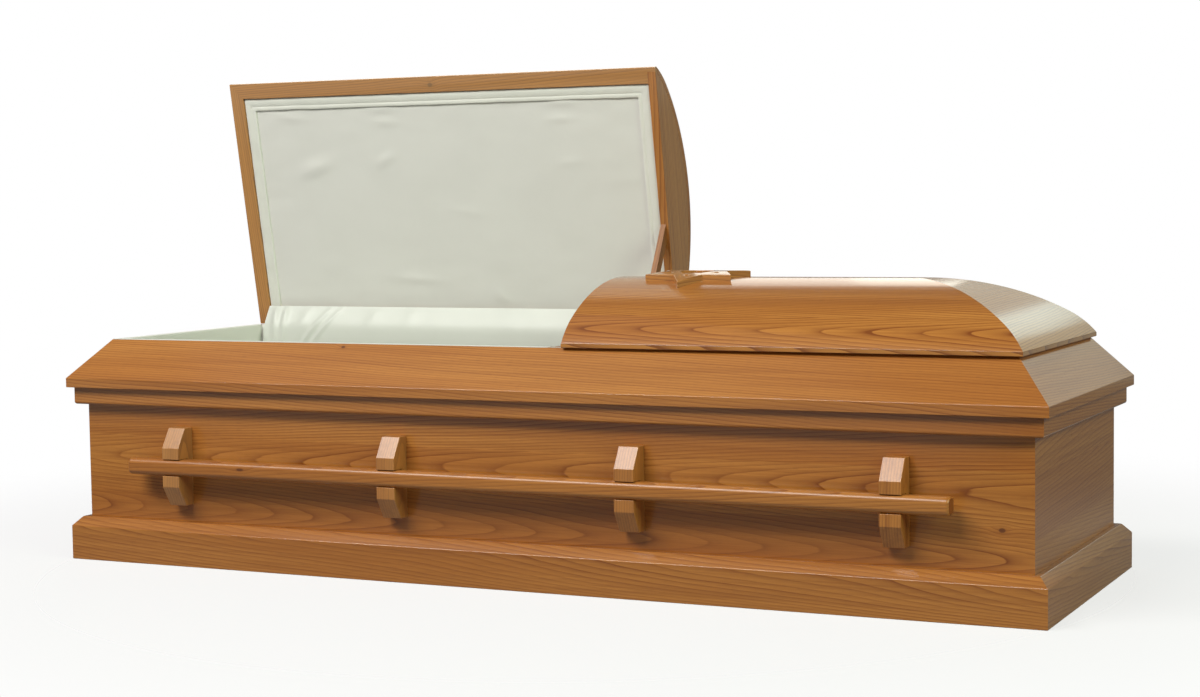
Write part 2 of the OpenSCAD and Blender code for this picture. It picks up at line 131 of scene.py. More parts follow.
class Graph:
    """The node tree of something that has nodes, such as a material or the world."""

    def __init__(self, owner):
        owner.use_nodes = True
        self.tree = owner.node_tree

    def already(self, kind):
        """A node that a new tree comes with."""
        return next(n for n in self.tree.nodes if n.type == kind)

    def node(self, kind, settings=None, sockets=None, output=0):
        made = self.tree.nodes.new(kind)
        for name, value in (settings or {}).items():
            setattr(made, name, value)
        for key, value in (sockets or {}).items():
            self.feed(made.inputs[key], value)
        return Field(self, made.outputs[output])

    def feed(self, socket, value):
        if isinstance(value, Field):
            self.tree.links.new(value.socket, socket)
        else:
            socket.default_value = value

    def parts(self, vector):
        """The x, y and z of a vector."""
        split = self.node("ShaderNodeSeparateXYZ", {}, {0: vector}).socket.node
        return [Field(self, part) for part in split.outputs]

    def maths(self, operation, *values):
        return self.node("ShaderNodeMath", {"operation": operation}, dict(enumerate(values)))

    def between(self, value, low, high):
        """0 below low, 1 above high, smooth in between."""
        return self.node("ShaderNodeMapRange", {"interpolation_type": "SMOOTHSTEP"},
                         {"Value": value, "From Min": low, "From Max": high})

    def cloud(self, vector, along, across, detail=2.0, roughness=0.5):
        """Noise from 0 to 1, with about so many features to a metre along x and across it."""
        stretched = self.node("ShaderNodeVectorMath", {"operation": "MULTIPLY"},
                              {0: vector, 1: (along, across, across)})
        return self.node("ShaderNodeTexNoise", {}, {"Vector": stretched, "Scale": 1.0, "Detail": detail,
                                                    "Roughness": roughness})

    def blend(self, factor, first, second, mode="MIX"):
        return self.node("ShaderNodeMix", {"data_type": "RGBA", "blend_type": mode},
                         {0: factor, 6: first, 7: second}, output=2)


class Finish(Graph):
    """A material being written, with one Principled shader."""

    def __init__(self, name, **plain):
        self.material = bpy.data.materials.new(name)
        super().__init__(self.material)
        self.shader = self.already("BSDF_PRINCIPLED")
        for socket, value in plain.items():
            self.shader.inputs[socket.replace("_", " ").title().replace("Ior", "IOR")].default_value = value

    def stored(self, name, output=1):
        """What a mesh says of itself in an attribute: output 1 is its vector, 2 its number."""
        return self.node("ShaderNodeAttribute", {"attribute_name": name}, output=output)

    def wear(self, socket, value):
        self.feed(self.shader.inputs[socket], value)

    def emboss(self, strength, depth, height):
        bump = {"Strength": strength, "Distance": depth, "Height": height}
        self.wear("Normal", self.node("ShaderNodeBump", {}, bump))


def colour(red, green, blue):
    return (red, green, blue, 1.0)


print("fields ready")

# %% [markdown]
# ## Oak
# Oak's figure isn't painted on: it is what a saw finds in a log. Growth rings are nested, wavy
# cones, and a board is a slice. So each board carries an attribute, `log`, that says where its
# points lay in the log, in metres along it and sideways from the heart. The rings are then the
# distance from the heart, plus a taper, plus slow waves. A slice near the heart shows tall
# arches, a slice further out shows straight lines, and end grain comes out right by itself.
#
# Over the rings lie the things that make oak oak: each ring starts with a row of open pores,
# fibres streak the surface, and the colour drifts between honey and red. A second attribute,
# `knot`, is the way to the nearest knot, in knot sizes, and the rings swerve round it. The
# colour is built up in coats from pale to dark, and a clear satin lacquer covers it all.

# %% Oak
OAK_PALE = colour(0.53, 0.215, 0.046)
OAK_HONEY = colour(0.45, 0.165, 0.031)
OAK_RED = colour(0.37, 0.117, 0.021)
OAK_LINE = colour(0.20, 0.052, 0.009)
OAK_PORE = colour(0.18, 0.062, 0.018)
OAK_KNOT = colour(0.095, 0.026, 0.009)
# A pale tan that a piece's tone mixes in: a stave's own paler tone, and on some pieces a painted sheen.
OAK_PALE_AND_SHEEN = colour(0.80, 0.56, 0.27)
RING_SPACING = 0.0058
RING_TAPER = 0.055


def oak_finish(name, tint=colour(1, 1, 1), figure=1.0, wave=0.030, lacquer=0.14):
    """figure is how dark the rings are, wave how far they wander, lacquer how dull its coat is."""
    f = Finish(name, ior=1.45, specular_ior_level=0.12, coat_weight=1.0, coat_roughness=lacquer,
               coat_ior=1.5)
    place, knot, tone = f.stored("log"), f.stored("knot"), f.stored("tone", output=2)
    along, side, deep = f.parts(place)

    knot_reach = f.node("ShaderNodeVectorMath", {"operation": "LENGTH"}, {0: knot}, output=1)
    swerve = f.maths("EXPONENT", knot_reach * knot_reach * -0.12)
    slow = f.cloud(place, 1.35, 5.0, detail=1.5) - 0.5
    quick = f.cloud(place, 9.0, 60.0, detail=2.0) - 0.5
    heart = f.maths("SQRT", side * side + deep * deep)
    radius = heart + along * RING_TAPER + slow * wave + quick * 0.0022 + swerve * 0.006
    uneven = f.cloud(place, 0.6, 22.0, detail=0) - 0.5
    rings = radius / RING_SPACING + uneven * 1.6
    year = f.maths("FLOOR", rings)
    into = f.maths("FRACT", rings)
    vigour = f.node("ShaderNodeTexWhiteNoise", {"noise_dimensions": "1D"}, {"W": year})
    patch = f.cloud(place, 2.2, 14.0, detail=1.0)

    # each ring has a sharp dark start, which fades towards the next
    opening = f.between(into, 0.0, 0.06)
    fading = 1 - into
    line = fading ** 2.0 * 0.62 + fading ** 9.0 * 0.75
    line = line * opening * (0.45 + 0.55 * vigour) * (0.55 + 0.8 * patch)
    fibre = f.cloud(place, 4.0, 300.0, detail=3.0, roughness=0.7)
    streak = f.cloud(place, 1.6, 90.0, detail=2.0, roughness=0.6)
    fine = f.cloud(place, 16.0, 1300.0, detail=1.0)
    pore = f.between(f.cloud(place, 55.0, 1700.0, detail=0.0), 0.58, 0.70) * (0.25 + 0.75 * fading)
    drift = f.cloud(place, 0.9, 10.0, detail=2.0)
    warm = f.cloud(place, 0.5, 4.0, detail=1.0)
    halo = f.maths("EXPONENT", knot_reach * knot_reach * -0.45)
    core = 1 - f.between(knot_reach, 0.55, 1.05)
    wood = f.blend(f.between(drift, 0.32, 0.70), OAK_PALE, OAK_HONEY)
    stains = [
        (f.between(warm, 0.45, 0.72) * 0.55, OAK_RED),
        (f.between(streak, 0.42, 0.72) * 0.30, OAK_LINE),
        (line * (0.95 * figure), OAK_LINE),
        (f.between(fibre, 0.35, 0.75) * 0.26 + fine * 0.08, OAK_LINE),
        (pore * 0.35, OAK_PORE),
        (halo * 0.35, OAK_LINE),
        (core * 0.8, OAK_KNOT),
        # the piece's tone: paler or darker staves, and on some pieces a painted sheen
        (tone, OAK_PALE_AND_SHEEN),
        (0 - tone, OAK_LINE),
    ]
    for amount, stain in stains:
        wood = f.blend(amount, wood, stain)
    wood = f.blend(1.0, wood, tint, mode="MULTIPLY")
    f.wear("Base Color", wood)
    f.wear("Roughness", 0.38 + fibre * 0.10 + pore * 0.12)
    f.emboss(0.18, 0.0004, 0 - pore * 0.6 - line * 0.35 - fibre * 0.25)
    return f.material


OAKS = {
    "oak_case": oak_finish("oak_case", tint=colour(1.11, 1.15, 1.15), figure=1.12),
    "oak_lid": oak_finish("oak_lid", tint=colour(1.13, 1.17, 1.16), figure=1.6, wave=0.027),
    "oak_handle": oak_finish("oak_handle", tint=colour(1.05, 1.06, 1.06), figure=0.9, lacquer=0.31),
    # A darker copy of the oak, painted shade: the prop, the bridge and the floor board use it.
    "oak_inside": oak_finish("oak_inside", tint=colour(0.74, 0.72, 0.68), lacquer=0.60),
}
print("oaks:", sorted(OAKS))

# %% [markdown]
# ## Boards
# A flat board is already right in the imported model, apart from its edges: no real board has an
# edge as sharp as a drawing's, and the thin bright line on a rounded edge is what tells the
# eye that wood was sanded. So a board starts from its node's mesh, the triangles of each flat
# face are joined up, and the outward edges are rounded. Faces at 45 degrees to a board's run
# are mitres, and a glued mitre stays crisp. `write_log` then says how the board was sawn: one
# `Cut` for each stave that it is glued up from.

# %% Boards
class Cut:
    """How a stave was sawn: up to where it reaches, and where the heart of its log lies.

    Its tone is how much of a pale tan is mixed into its colour, or, below zero, how much of the dark line
    colour. On the head lid's rails, the hips, the star and the brackets the pale tan is a painted sheen,
    standing in for the glancing reflections that make them look paler.
    Its turn, in degrees, is how far its grain is turned from the board's own length."""

    def __init__(self, heart, deep, shift, upto=9.0, lengthways=1, tone=0.0, turn=0.0):
        self.heart, self.deep, self.shift = heart, deep, shift
        self.upto, self.lengthways, self.tone = upto, lengthways, tone
        self.turned = Matrix.Rotation(math.radians(-turn), 3, "Z")

    def place(self, p):
        p = self.turned @ p
        return Vector((p.x * self.lengthways + self.shift, p.y - self.heart, p.z + self.deep))


EDGE_ROUND = 0.0014
SHARP = math.radians(28)
SMOOTH = math.radians(40)
COPLANAR = 0.002
END_GRAIN = 0.8
MITRE_NEAR = 0.003
LOG_LAYERS = {"log": "FLOAT_VECTOR", "knot": "FLOAT_VECTOR", "tone": "FLOAT"}
NO_KNOT = Vector((99, 99, 99))


def stave_at(cuts):
    """The usual way to find a stave: by how far up the board it reaches."""
    return lambda p: next(cut for cut in cuts if p.y <= cut.upto)


def write_log(mesh, flat, cut_at, knots=(), end_tone=0.0):
    """Writes each corner's place in the log, its tone, and the way to the nearest knot.

    A knot is its place, its size and how many times longer than that it is along the grain.
    End grain drinks more stain, so end_tone is added where a face cuts across the grain."""
    for name, kind in LOG_LAYERS.items():
        mesh.attributes.new(name, kind, "CORNER")
    log, tied, tone_and_sheen = (mesh.attributes[name] for name in LOG_LAYERS)
    for face in mesh.polygons:
        middle = flat(face.center)
        across_grain = abs((flat(face.center + face.normal) - middle).x) > END_GRAIN
        cut = cut_at(middle)
        near = min(knots, key=lambda k: (middle - k[0]).length, default=None)
        for corner in face.loop_indices:
            p = flat(mesh.vertices[mesh.loops[corner].vertex_index].co)
            log.data[corner].vector = cut.place(p)
            tone_and_sheen.data[corner].value = cut.tone + (end_tone if across_grain else 0.0)
            tied.data[corner].vector = NO_KNOT
            if near:
                place, size, stretch = near
                away = (p - place) / size
                tied.data[corner].vector = (away.x / stretch, away.y, away.z)


def outward_edges(bm, least, mitred):
    """Edges over a least length between faces that turn away from each other, not a mitre's."""
    def is_mitre(face):
        return mitred and abs(abs(face.normal.x) - math.sqrt(0.5)) < MITRE_NEAR

    return [e for e in bm.edges
            if len(e.link_faces) == 2 and e.is_convex and e.calc_face_angle(0) > SHARP
            and e.calc_length() > least and not any(is_mitre(f) for f in e.link_faces)]


def round_edges(bm, edges, width, steps=3):
    bmesh.ops.bevel(bm, geom=edges, offset=width, offset_type="OFFSET", segments=steps, profile=0.5,
                    affect="EDGES", clamp_overlap=True)


def part_at(bm, place, normal):
    """Splits faces along a plane, as a glue line does, and leaves them joined."""
    bmesh.ops.bisect_plane(bm, geom=bm.verts[:] + bm.edges[:] + bm.faces[:], plane_co=place,
                           plane_no=normal, dist=1e-6)


def join_rings(bm, rings):
    """Skins a row of rings of points, and closes both ends."""
    for one, two in zip(rings, rings[1:]):
        for i in range(len(one)):
            j = (i + 1) % len(one)
            bm.faces.new((one[i], one[j], two[j], two[i]))
    bm.faces.new(rings[0])
    bm.faces.new(rings[-1][::-1])


def finish_mesh(bm, name, material, placing=None):
    """Makes an object from a mesh in work, smooth over its rounded edges and flat on its faces."""
    bmesh.ops.recalc_face_normals(bm, faces=bm.faces)
    mesh = bpy.data.meshes.new(name)
    bm.to_mesh(mesh)
    bm.free()
    if placing:
        mesh.transform(placing)
        if placing.determinant() < 0:
            mesh.flip_normals()
    mesh.shade_smooth()
    mesh.set_sharp_from_angle(angle=SMOOTH)
    mesh.materials.append(material)
    made = bpy.data.objects.new(name, mesh)
    bpy.context.scene.collection.objects.link(made)
    weigh = made.modifiers.new("flat_faces", "WEIGHTED_NORMAL")
    weigh.keep_sharp = True
    return made


def stand_for(piece, body, node):
    """Puts a piece on its body in the place of a node, and says how well it fits that."""
    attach(piece, body)
    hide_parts(node)
    points = [v.co for v in piece.data.vertices]
    off = max(abs(furthest(p[k] for p in points) - corner[k])
              for furthest, corner in zip((min, max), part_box(node)) for k in range(3))
    print(f"{piece.name}: {len(points)} points, within {off * 1000:.2f} mm of its place")
    return piece


def set_board(node, body, slot, flat, cuts, knots=(), width=EDGE_ROUND, least=0.006, mitred=False,
              joints=(), soften=lambda middle: True):
    """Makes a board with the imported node's faces, rounded edges and its own figure.

    A joint is a place and the normal of a glue line. `soften` says where an edge is rounded."""
    bm = bmesh.new()
    bm.from_mesh(frame["nodes"][node].data)
    bmesh.ops.remove_doubles(bm, verts=bm.verts, dist=1e-6)
    bmesh.ops.dissolve_limit(bm, angle_limit=COPLANAR, verts=bm.verts, edges=bm.edges)
    bm.normal_update()
    edges = [e for e in outward_edges(bm, least, mitred)
             if soften(flat((e.verts[0].co + e.verts[1].co) / 2))]
    round_edges(bm, edges, width)
    for place, normal in joints:
        part_at(bm, place, normal)
    piece = finish_mesh(bm, f"oak_{node}", OAKS[slot])
    write_log(piece.data, flat, stave_at(cuts), knots)
    return stand_for(piece, body, node)


print("ready to saw")

# %% [markdown]
# ## The box and its mouldings
# Four walls stand on a floor board, with a bevelled base outside their foot, a band under
# their top and a sloping rim over all. On each side a `bench` gives the axes that a joiner
# works with: along the board, up its face and out of it. The walls are glued up from three
# staves, which is why their arches don't run on from top to bottom.

# %% Box
wall_low, wall_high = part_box("wall_front")
HALF_WID = -wall_low.y
HALF_LEN = wall_high.x
WALL_H = wall_high.z
RIM_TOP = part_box("rim_front")[1].z
RIM_OUT = -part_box("rim_front")[0].y - HALF_WID
BASE_OUT = -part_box("base_front")[0].y - HALF_WID
BAND_OUT = -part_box("band_front")[0].y - HALF_WID
RIM_LIP = 0.0195
RIM_IN = 0.0385
RIM_FLAT = 0.020
RIM_ROUND = 0.0009
PLAIN_RIM_LEAST = 0.006
HINGED_RIM_LEAST = 0.15
TURNS = {"front": 0, "foot": 90, "back": 180, "head": 270}
REACH = {"front": HALF_WID, "foot": HALF_LEN, "back": HALF_WID, "head": HALF_LEN}


def bench(side, out=0.0, z=0.0, back=0.0, rise=1.0):
    """Axes on one side of the box: along the board, up a face that leans back, and out of it."""
    turn = Matrix.Rotation(math.radians(TURNS[side]), 3, "Z")
    along, outward = turn @ Vector((1, 0, 0)), turn @ Vector((0, -1, 0))
    across = (Vector((0, 0, rise)) - outward * back).normalized()
    axes = Matrix((along, across, along.cross(across))).transposed().to_4x4()
    return Matrix.Translation(outward * (REACH[side] + out) + Vector((0, 0, z))) @ axes


def flat_on(matrix):
    """A way to see a point in some axes: x along the grain, y across it, z out of the face."""
    undo = matrix.inverted()
    return lambda p: undo @ p


WALL_STAVES = {
    "front": [Cut(0.115, 0.034, 3.0, 0.170), Cut(0.226, 0.040, 11.3, 0.268, -1), Cut(0.46, 0.10, 20.7)],
    "foot": [Cut(0.02, 0.10, 31.0, 0.150), Cut(0.30, 0.060, 37.0, 0.262), Cut(0.40, 0.09, 43.0)],
    "back": [Cut(0.10, 0.055, 51.0, 0.152), Cut(0.21, 0.070, 57.0, 0.270, -1), Cut(0.44, 0.10, 63.0)],
    "head": [Cut(0.08, 0.07, 71.0, 0.140), Cut(0.22, 0.05, 77.0, 0.266), Cut(0.38, 0.09, 83.0)],
}
WALL_KNOTS = {
    "front": [(Vector((0.962, 0.165, 0)), 0.0050, 1.5), (Vector((-0.965, 0.193, 0)), 0.0034, 5.0)],
    "back": [(Vector((0.52, 0.24, 0)), 0.006, 1.6)],
}
RIM_KNOTS = {"front": [(Vector((-0.40, 0.098, 0)), 0.0035, 1.6), (Vector((0.46, 0.080, 0)), 0.003, 2.0)]}

for number, side in enumerate(TURNS):
    shift = 90.0 + 7 * number
    joints = [((0, 0, cut.upto), (0, 0, 1)) for cut in WALL_STAVES[side][:-1]]
    slope = bench(side, RIM_OUT, WALL_H + RIM_LIP, RIM_OUT + RIM_IN, RIM_TOP - WALL_H - RIM_LIP)
    set_board(f"wall_{side}", "case", "oak_case", flat_on(bench(side)), WALL_STAVES[side],
              WALL_KNOTS.get(side, ()), mitred=True, joints=joints)
    set_board(f"base_{side}", "case", "oak_case", flat_on(bench(side, BASE_OUT)),
              [Cut(0.085, 0.045, shift, lengthways=-1, tone=-0.14)], mitred=True)
    set_board(f"band_{side}", "case", "oak_case", flat_on(bench(side, BAND_OUT)),
              [Cut(0.21, 0.06, shift + 30)], mitred=True)
    set_board(f"rim_{side}", "case", "oak_case", flat_on(slope), [Cut(-0.13, 0.03, shift + 60)],
              RIM_KNOTS.get(side, ()), mitred=True, width=RIM_ROUND,
              least=HINGED_RIM_LEAST if side == "back" else PLAIN_RIM_LEAST)

# The floor board and the bridge take the darker copy of the oak, painted shade.
set_board("floor_board", "case", "oak_inside", flat_on(Matrix.Identity(4)), [Cut(0.1, 0.08, 140.0)])
set_board("bridge", "case", "oak_inside", flat_on(bench("foot")), [Cut(0.30, 0.05, 150.0)], least=0.1,
          width=0.001)

# %% [markdown]
# ## Handles
# A square bar with well rounded edges runs the length of each side in notched brackets. The
# brackets were sawn with the grain upright, so that the nose over the bar is strong. The bar's
# ends are rounded too, and their end grain has taken more stain.

# %% Handles
BAR_ROUND = 0.011
BAR_END_ROUND = 0.0065
BAR_LOGS = {"front": 160.0, "back": 170.0}
BAR_KNOTS = [(Vector((-0.60, -0.017, 0.004)), 0.0035, 3.0)]
BRACKET_ROUND = 0.0009
BRACKET_LOGS = {"front": 185.0, "back": 184.0}
UPRIGHT = Matrix(((0, 1, 0, 0), (0, 0, 1, 0), (1, 0, 0, 0), (0, 0, 0, 1)))


def bar_ring(bm, middle, half, x, inset, steps=8):
    """A ring of points round the bar: a rectangle with rounded corners, some way inside its faces."""
    corner = BAR_ROUND - inset
    ring = []
    for quarter, (sy, sz) in enumerate(((1, 1), (-1, 1), (-1, -1), (1, -1))):
        for step in range(steps + 1):
            angle = math.radians(90 * (quarter + step / steps))
            y = middle.y + sy * (half.y - inset - corner) + corner * math.cos(angle)
            z = middle.z + sz * (half.z - inset - corner) + corner * math.sin(angle)
            ring.append(bm.verts.new((x, y, z)))
    return ring


def handle_bar(side, end_steps=6):
    low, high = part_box(f"handle_bar_{side}")
    middle, half = (low + high) / 2, (high - low) / 2
    bm = bmesh.new()
    rings = []
    for end, step in [(-1, s) for s in range(end_steps + 1)] + [(1, s) for s in range(end_steps, -1, -1)]:
        angle = math.radians(90 * step / end_steps)
        x = middle.x + end * (half.x - BAR_END_ROUND * (1 - math.cos(angle)))
        rings.append(bar_ring(bm, middle, half, x, BAR_END_ROUND * (1 - math.sin(angle))))
    join_rings(bm, rings)
    piece = finish_mesh(bm, f"oak_handle_bar_{side}", OAKS["oak_handle"])
    cut = Cut(0.012, 0.035, BAR_LOGS[side], lengthways=-1)
    write_log(piece.data, flat_on(Matrix.Translation(middle)), stave_at([cut]), BAR_KNOTS, end_tone=-1.0)
    return stand_for(piece, "case", f"handle_bar_{side}")


for side in ("front", "back"):
    handle_bar(side)
    for index in range(1, 5):
        node = f"bracket_{side}_{index}"
        middle = (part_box(node)[0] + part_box(node)[1]) / 2
        # The pale tan on the brackets, most on the first and less on each next, is a painted sheen for how
        # white each bracket shines under the key light.
        cut = Cut(0.30, 0.012, BRACKET_LOGS[side] + 5 * index, tone=0.18 - 0.05 * index)
        set_board(node, "case", "oak_handle", flat_on(Matrix.Translation(middle) @ UPRIGHT), [cut],
                  width=BRACKET_ROUND)

# %% [markdown]
# ## Crowned lids
# A lid is a thin sheet, steamed over a former: two tight shoulders that run into one wide
# crown. It could be a subdivision surface, but an outline of true arcs has the exact shape, and
# a light that sweeps along it shows no ripple. The end is hipped: the same outline turned a
# quarter and mitred to the long part. Both lids are built shut and running to the foot, and the
# matrix in `LID_PLACE` then mirrors the head lid and opens it about its hinge.
#
# The sheet is glued up from staves, so the figure is written along the arc. The lowest stave
# on the front was sawn near the heart, with its arches pointing to the head. The rails' upper
# edges stay sharp, because they are hidden in the joint with the sheet.

# %% Crowned lids
LID_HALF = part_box("foot_lid_rail_back")[1].y
LIP_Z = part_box("foot_lid_crown")[0].z
CROWN_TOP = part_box("foot_lid_crown")[1].z
CROWN_T = 0.012
LID_ROUND = 0.0011
HIDDEN = 0.002
INNER_ROUND = 0.0006
SHOULDER_R = 0.166
SHOULDER_EDGE = math.radians(56.2)
SHOULDER_Y = LID_HALF - SHOULDER_R * math.sin(SHOULDER_EDGE)
SHOULDER_Z = LIP_Z - SHOULDER_R * math.cos(SHOULDER_EDGE)
SHOULDER_DROP = CROWN_TOP - SHOULDER_Z
CROWN_R = (SHOULDER_DROP ** 2 + SHOULDER_Y ** 2 - SHOULDER_R ** 2) / (2 * (SHOULDER_DROP - SHOULDER_R))
CROWN_Z = CROWN_TOP - CROWN_R
JOIN = math.asin(SHOULDER_Y / (CROWN_R - SHOULDER_R))
SHOULDER_ARC = SHOULDER_R * (SHOULDER_EDGE - JOIN)
HALF_ARC = SHOULDER_ARC + CROWN_R * JOIN
STAVE_ARC = 0.077

hinge = next(j for j in frame["joints"] if j["name"] == "head_lid_hinge")
HINGE = Vector(hinge["pos_m"])
OPENED = Matrix.Rotation(-math.radians(hinge["range_deg"][1]), 4, "X")
LID_PLACE = {
    "foot_lid": Matrix.Identity(4),
    "head_lid": (Matrix.Translation(HINGE) @ OPENED @ Matrix.Translation(-HINGE)
                 @ Matrix.Diagonal((-1, 1, 1, 1))),
}
CUT_AT = {"foot_lid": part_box("foot_lid_crown")[0].x, "head_lid": -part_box("head_lid_crown")[1].x}
END_AT = {"foot_lid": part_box("foot_lid_hip")[1].x, "head_lid": -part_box("head_lid_hip")[0].x}
BODY_OF = {"foot_lid": "case", "head_lid": "head_lid"}


def crown_half(inward, shoulder_steps=10, crown_steps=16):
    """The crown's outline from its lip to the middle line, some way inside its outer face."""
    edge = math.acos((LIP_Z - SHOULDER_Z) / (SHOULDER_R - inward))
    low = [edge + (JOIN - edge) * i / shoulder_steps for i in range(shoulder_steps + 1)]
    high = [JOIN * (1 - i / crown_steps) for i in range(1, crown_steps + 1)]
    arcs = [(SHOULDER_Y, SHOULDER_Z, SHOULDER_R - inward, low), (0, CROWN_Z, CROWN_R - inward, high)]
    return [(y + r * math.sin(a), z + r * math.cos(a)) for y, z, r, angles in arcs for a in angles]


def along_arc(off, z):
    """How far a point lies along the sheet from its lip, and how far out of its outer face."""
    turn = math.atan2(off - SHOULDER_Y, z - SHOULDER_Z)
    if turn > JOIN and off > SHOULDER_Y:
        return SHOULDER_R * (SHOULDER_EDGE - turn), math.hypot(off - SHOULDER_Y, z - SHOULDER_Z) - SHOULDER_R
    turn = math.atan2(off, z - CROWN_Z)
    return SHOULDER_ARC + CROWN_R * (JOIN - turn), math.hypot(off, z - CROWN_Z) - CROWN_R


def flat_on_sheet(lid, hip=False):
    """Flat coordinates on a bent sheet: along the grain, along the arc from its lip, and outward."""
    undo = LID_PLACE[lid].inverted()

    def flat(p):
        p = undo @ p
        if hip:
            arc, depth = along_arc(max(p.x - END_AT[lid] + LID_HALF, 0.0), p.z)
            return Vector((p.y, arc, depth))
        arc, depth = along_arc(abs(p.y), p.z)
        return Vector((p.x, arc if p.y < 0 else 2 * HALF_ARC - arc, depth))
    return flat


def flat_when_shut(lid, along="X"):
    """Flat coordinates on the shut lid, with the grain along the box or across it."""
    undo = LID_PLACE[lid].inverted()
    turn = Matrix.Identity(4) if along == "X" else Matrix.Rotation(math.radians(-90), 4, "Z")
    return lambda p: turn @ undo @ p


CROWN_STAVES = {
    "foot_lid": [Cut(0.039, 0.026, 201.0, STAVE_ARC, -1), Cut(-0.02, 0.05, 207.3, 0.19),
                 Cut(0.33, 0.06, 213.0, 0.40), Cut(0.30, 0.05, 219.0, 2 * HALF_ARC - STAVE_ARC),
                 Cut(2 * HALF_ARC - 0.04, 0.03, 225.0)],
    "head_lid": [Cut(0.05, 0.04, 231.0, STAVE_ARC), Cut(0.16, 0.05, 237.0, 0.24, -1),
                 Cut(0.28, 0.05, 243.0, 0.42), Cut(0.46, 0.045, 249.0, 2 * HALF_ARC - STAVE_ARC, -1),
                 Cut(2 * HALF_ARC - 0.03, 0.035, 255.0)],
}


def lid_sheet(bm, near, far, closed_ends):
    """Joins two rings of points, each an outer and an inner line, into a sheet with square ends.

    Where two points of a face are one, as at the hip's tip, the face has a corner less."""
    outer = list(zip(near[0], far[0]))
    inner = list(zip(near[1], far[1]))

    def face(*verts):
        kept = list(dict.fromkeys(verts))
        if len(kept) > 2:
            bm.faces.new(kept)

    for line in (outer, inner):
        for (a, b), (c, d) in zip(line, line[1:]):
            face(a, c, d, b)
    for which in (0, 1):
        for i in range(len(outer) - 1):
            face(outer[i][which], outer[i + 1][which], inner[i + 1][which], inner[i][which])
    for i in closed_ends:
        face(outer[i][0], outer[i][1], inner[i][1], inner[i][0])


def set_sheet(bm, lid, part, cuts, least, glue_lines=()):
    """Rounds a sheet's edges, parts it at its glue lines, opens it and puts it in its place."""
    bmesh.ops.recalc_face_normals(bm, faces=bm.faces)
    round_edges(bm, outward_edges(bm, least, mitred=True), LID_ROUND)
    for normal in glue_lines:
        part_at(bm, (0, 0, CROWN_Z), normal)
    piece = finish_mesh(bm, f"oak_{lid}_{part}", OAKS["oak_lid"], LID_PLACE[lid])
    write_log(piece.data, flat_on_sheet(lid, hip=part == "hip"), stave_at(cuts))
    return stand_for(piece, BODY_OF[lid], f"{lid}_{part}")


def crown_board(lid):
    """The long part of a lid, square at the split and mitred to the hip."""
    cut, end = CUT_AT[lid], END_AT[lid]
    bm = bmesh.new()
    rings = []
    for at in (lambda off: cut, lambda off: end - LID_HALF + off):
        lines = []
        for inward in (0, CROWN_T):
            half = crown_half(inward)
            across = [(-off, z) for off, z in half] + [(off, z) for off, z in half[-2::-1]]
            lines.append([bm.verts.new((at(abs(y)), y, z)) for y, z in across])
        rings.append(lines)
    lid_sheet(bm, rings[0], rings[1], (0, -1))
    glue_lines = []
    for stave in CROWN_STAVES[lid][:-1]:
        angle = JOIN - (min(stave.upto, 2 * HALF_ARC - stave.upto) - SHOULDER_ARC) / CROWN_R
        side = -1 if stave.upto < HALF_ARC else 1
        glue_lines.append((0, side * math.cos(angle), -math.sin(angle)))
    return set_sheet(bm, lid, "crown", CROWN_STAVES[lid], least=0.002, glue_lines=glue_lines)


def hip_board(lid, cuts):
    """The end of a lid: two mitres run up it and meet in a point on the crown."""
    ridge = END_AT[lid] - LID_HALF
    bm = bmesh.new()
    lines = [], []
    for inward in (0, CROWN_T):
        half = crown_half(inward)
        pair = [[bm.verts.new((ridge + q, side * q, z)) for q, z in half[:-1]] for side in (-1, 1)]
        tip = bm.verts.new((ridge, 0, half[-1][1]))
        lines[0].append(pair[0] + [tip])
        lines[1].append(pair[1] + [tip])
    lid_sheet(bm, lines[0], lines[1], (0,))
    return set_sheet(bm, lid, "hip", cuts, least=0.03)


LID_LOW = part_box("foot_lid_rail_back")[0].z
# The head lid's rails get much more pale tan than the foot lid's: a painted sheen for the haze that the open
# lid's frame shows in glancing light.
RAIL_TONES = {"foot_lid": 0.04, "head_lid": 0.19}
RAIL_HEARTS = {"front": -0.20, "back": 0.30, "end": -0.20}
RAIL_LOGS = {"front": 20, "back": 19, "end": 18}
RAIL_KNOTS = {("head_lid", "front"): [(Vector((0.455, -0.2650, LID_LOW)), 0.0056, 1.3)]}

for number, lid in enumerate(LID_PLACE):
    body, shift = BODY_OF[lid], 261.0 + 40 * number
    crown_board(lid)
    # The hips' pale tan is a painted sheen for the silvery glancing reflection on the hipped ends.
    hip_board(lid, [Cut(0.24, 0.05, shift, STAVE_ARC, tone=0.12), Cut(0.30, 0.05, shift + 5, tone=0.06)])
    set_board(f"{lid}_end_board", body, "oak_lid", flat_when_shut(lid, "Y"),
              [Cut(-CUT_AT[lid] - 0.05, -0.40, shift + 10, tone=0.05)], width=INNER_ROUND)
    for place in RAIL_LOGS:
        cut = Cut(RAIL_HEARTS[place], -0.44, shift + RAIL_LOGS[place], tone=RAIL_TONES[lid])
        set_board(f"{lid}_rail_{place}", body, "oak_lid", flat_when_shut(lid, "Y" if place == "end" else "X"),
                  [cut], RAIL_KNOTS.get((lid, place), ()), least=0.03, mitred=True,
                  soften=lambda middle: middle.z < LIP_Z - HIDDEN)

# %% [markdown]
# ## Star
# Two triangular rings of flat strip, halved into each other and bent to the crown. It is drawn
# flat: one outline, a hole in the middle and one in each point. The plate is thickened, its
# upper edges are rounded and its faces are split every few millimetres. Only then is it bent,
# so that the rounding stays even. Each strip has the grain along its own length, which shows
# the joints.

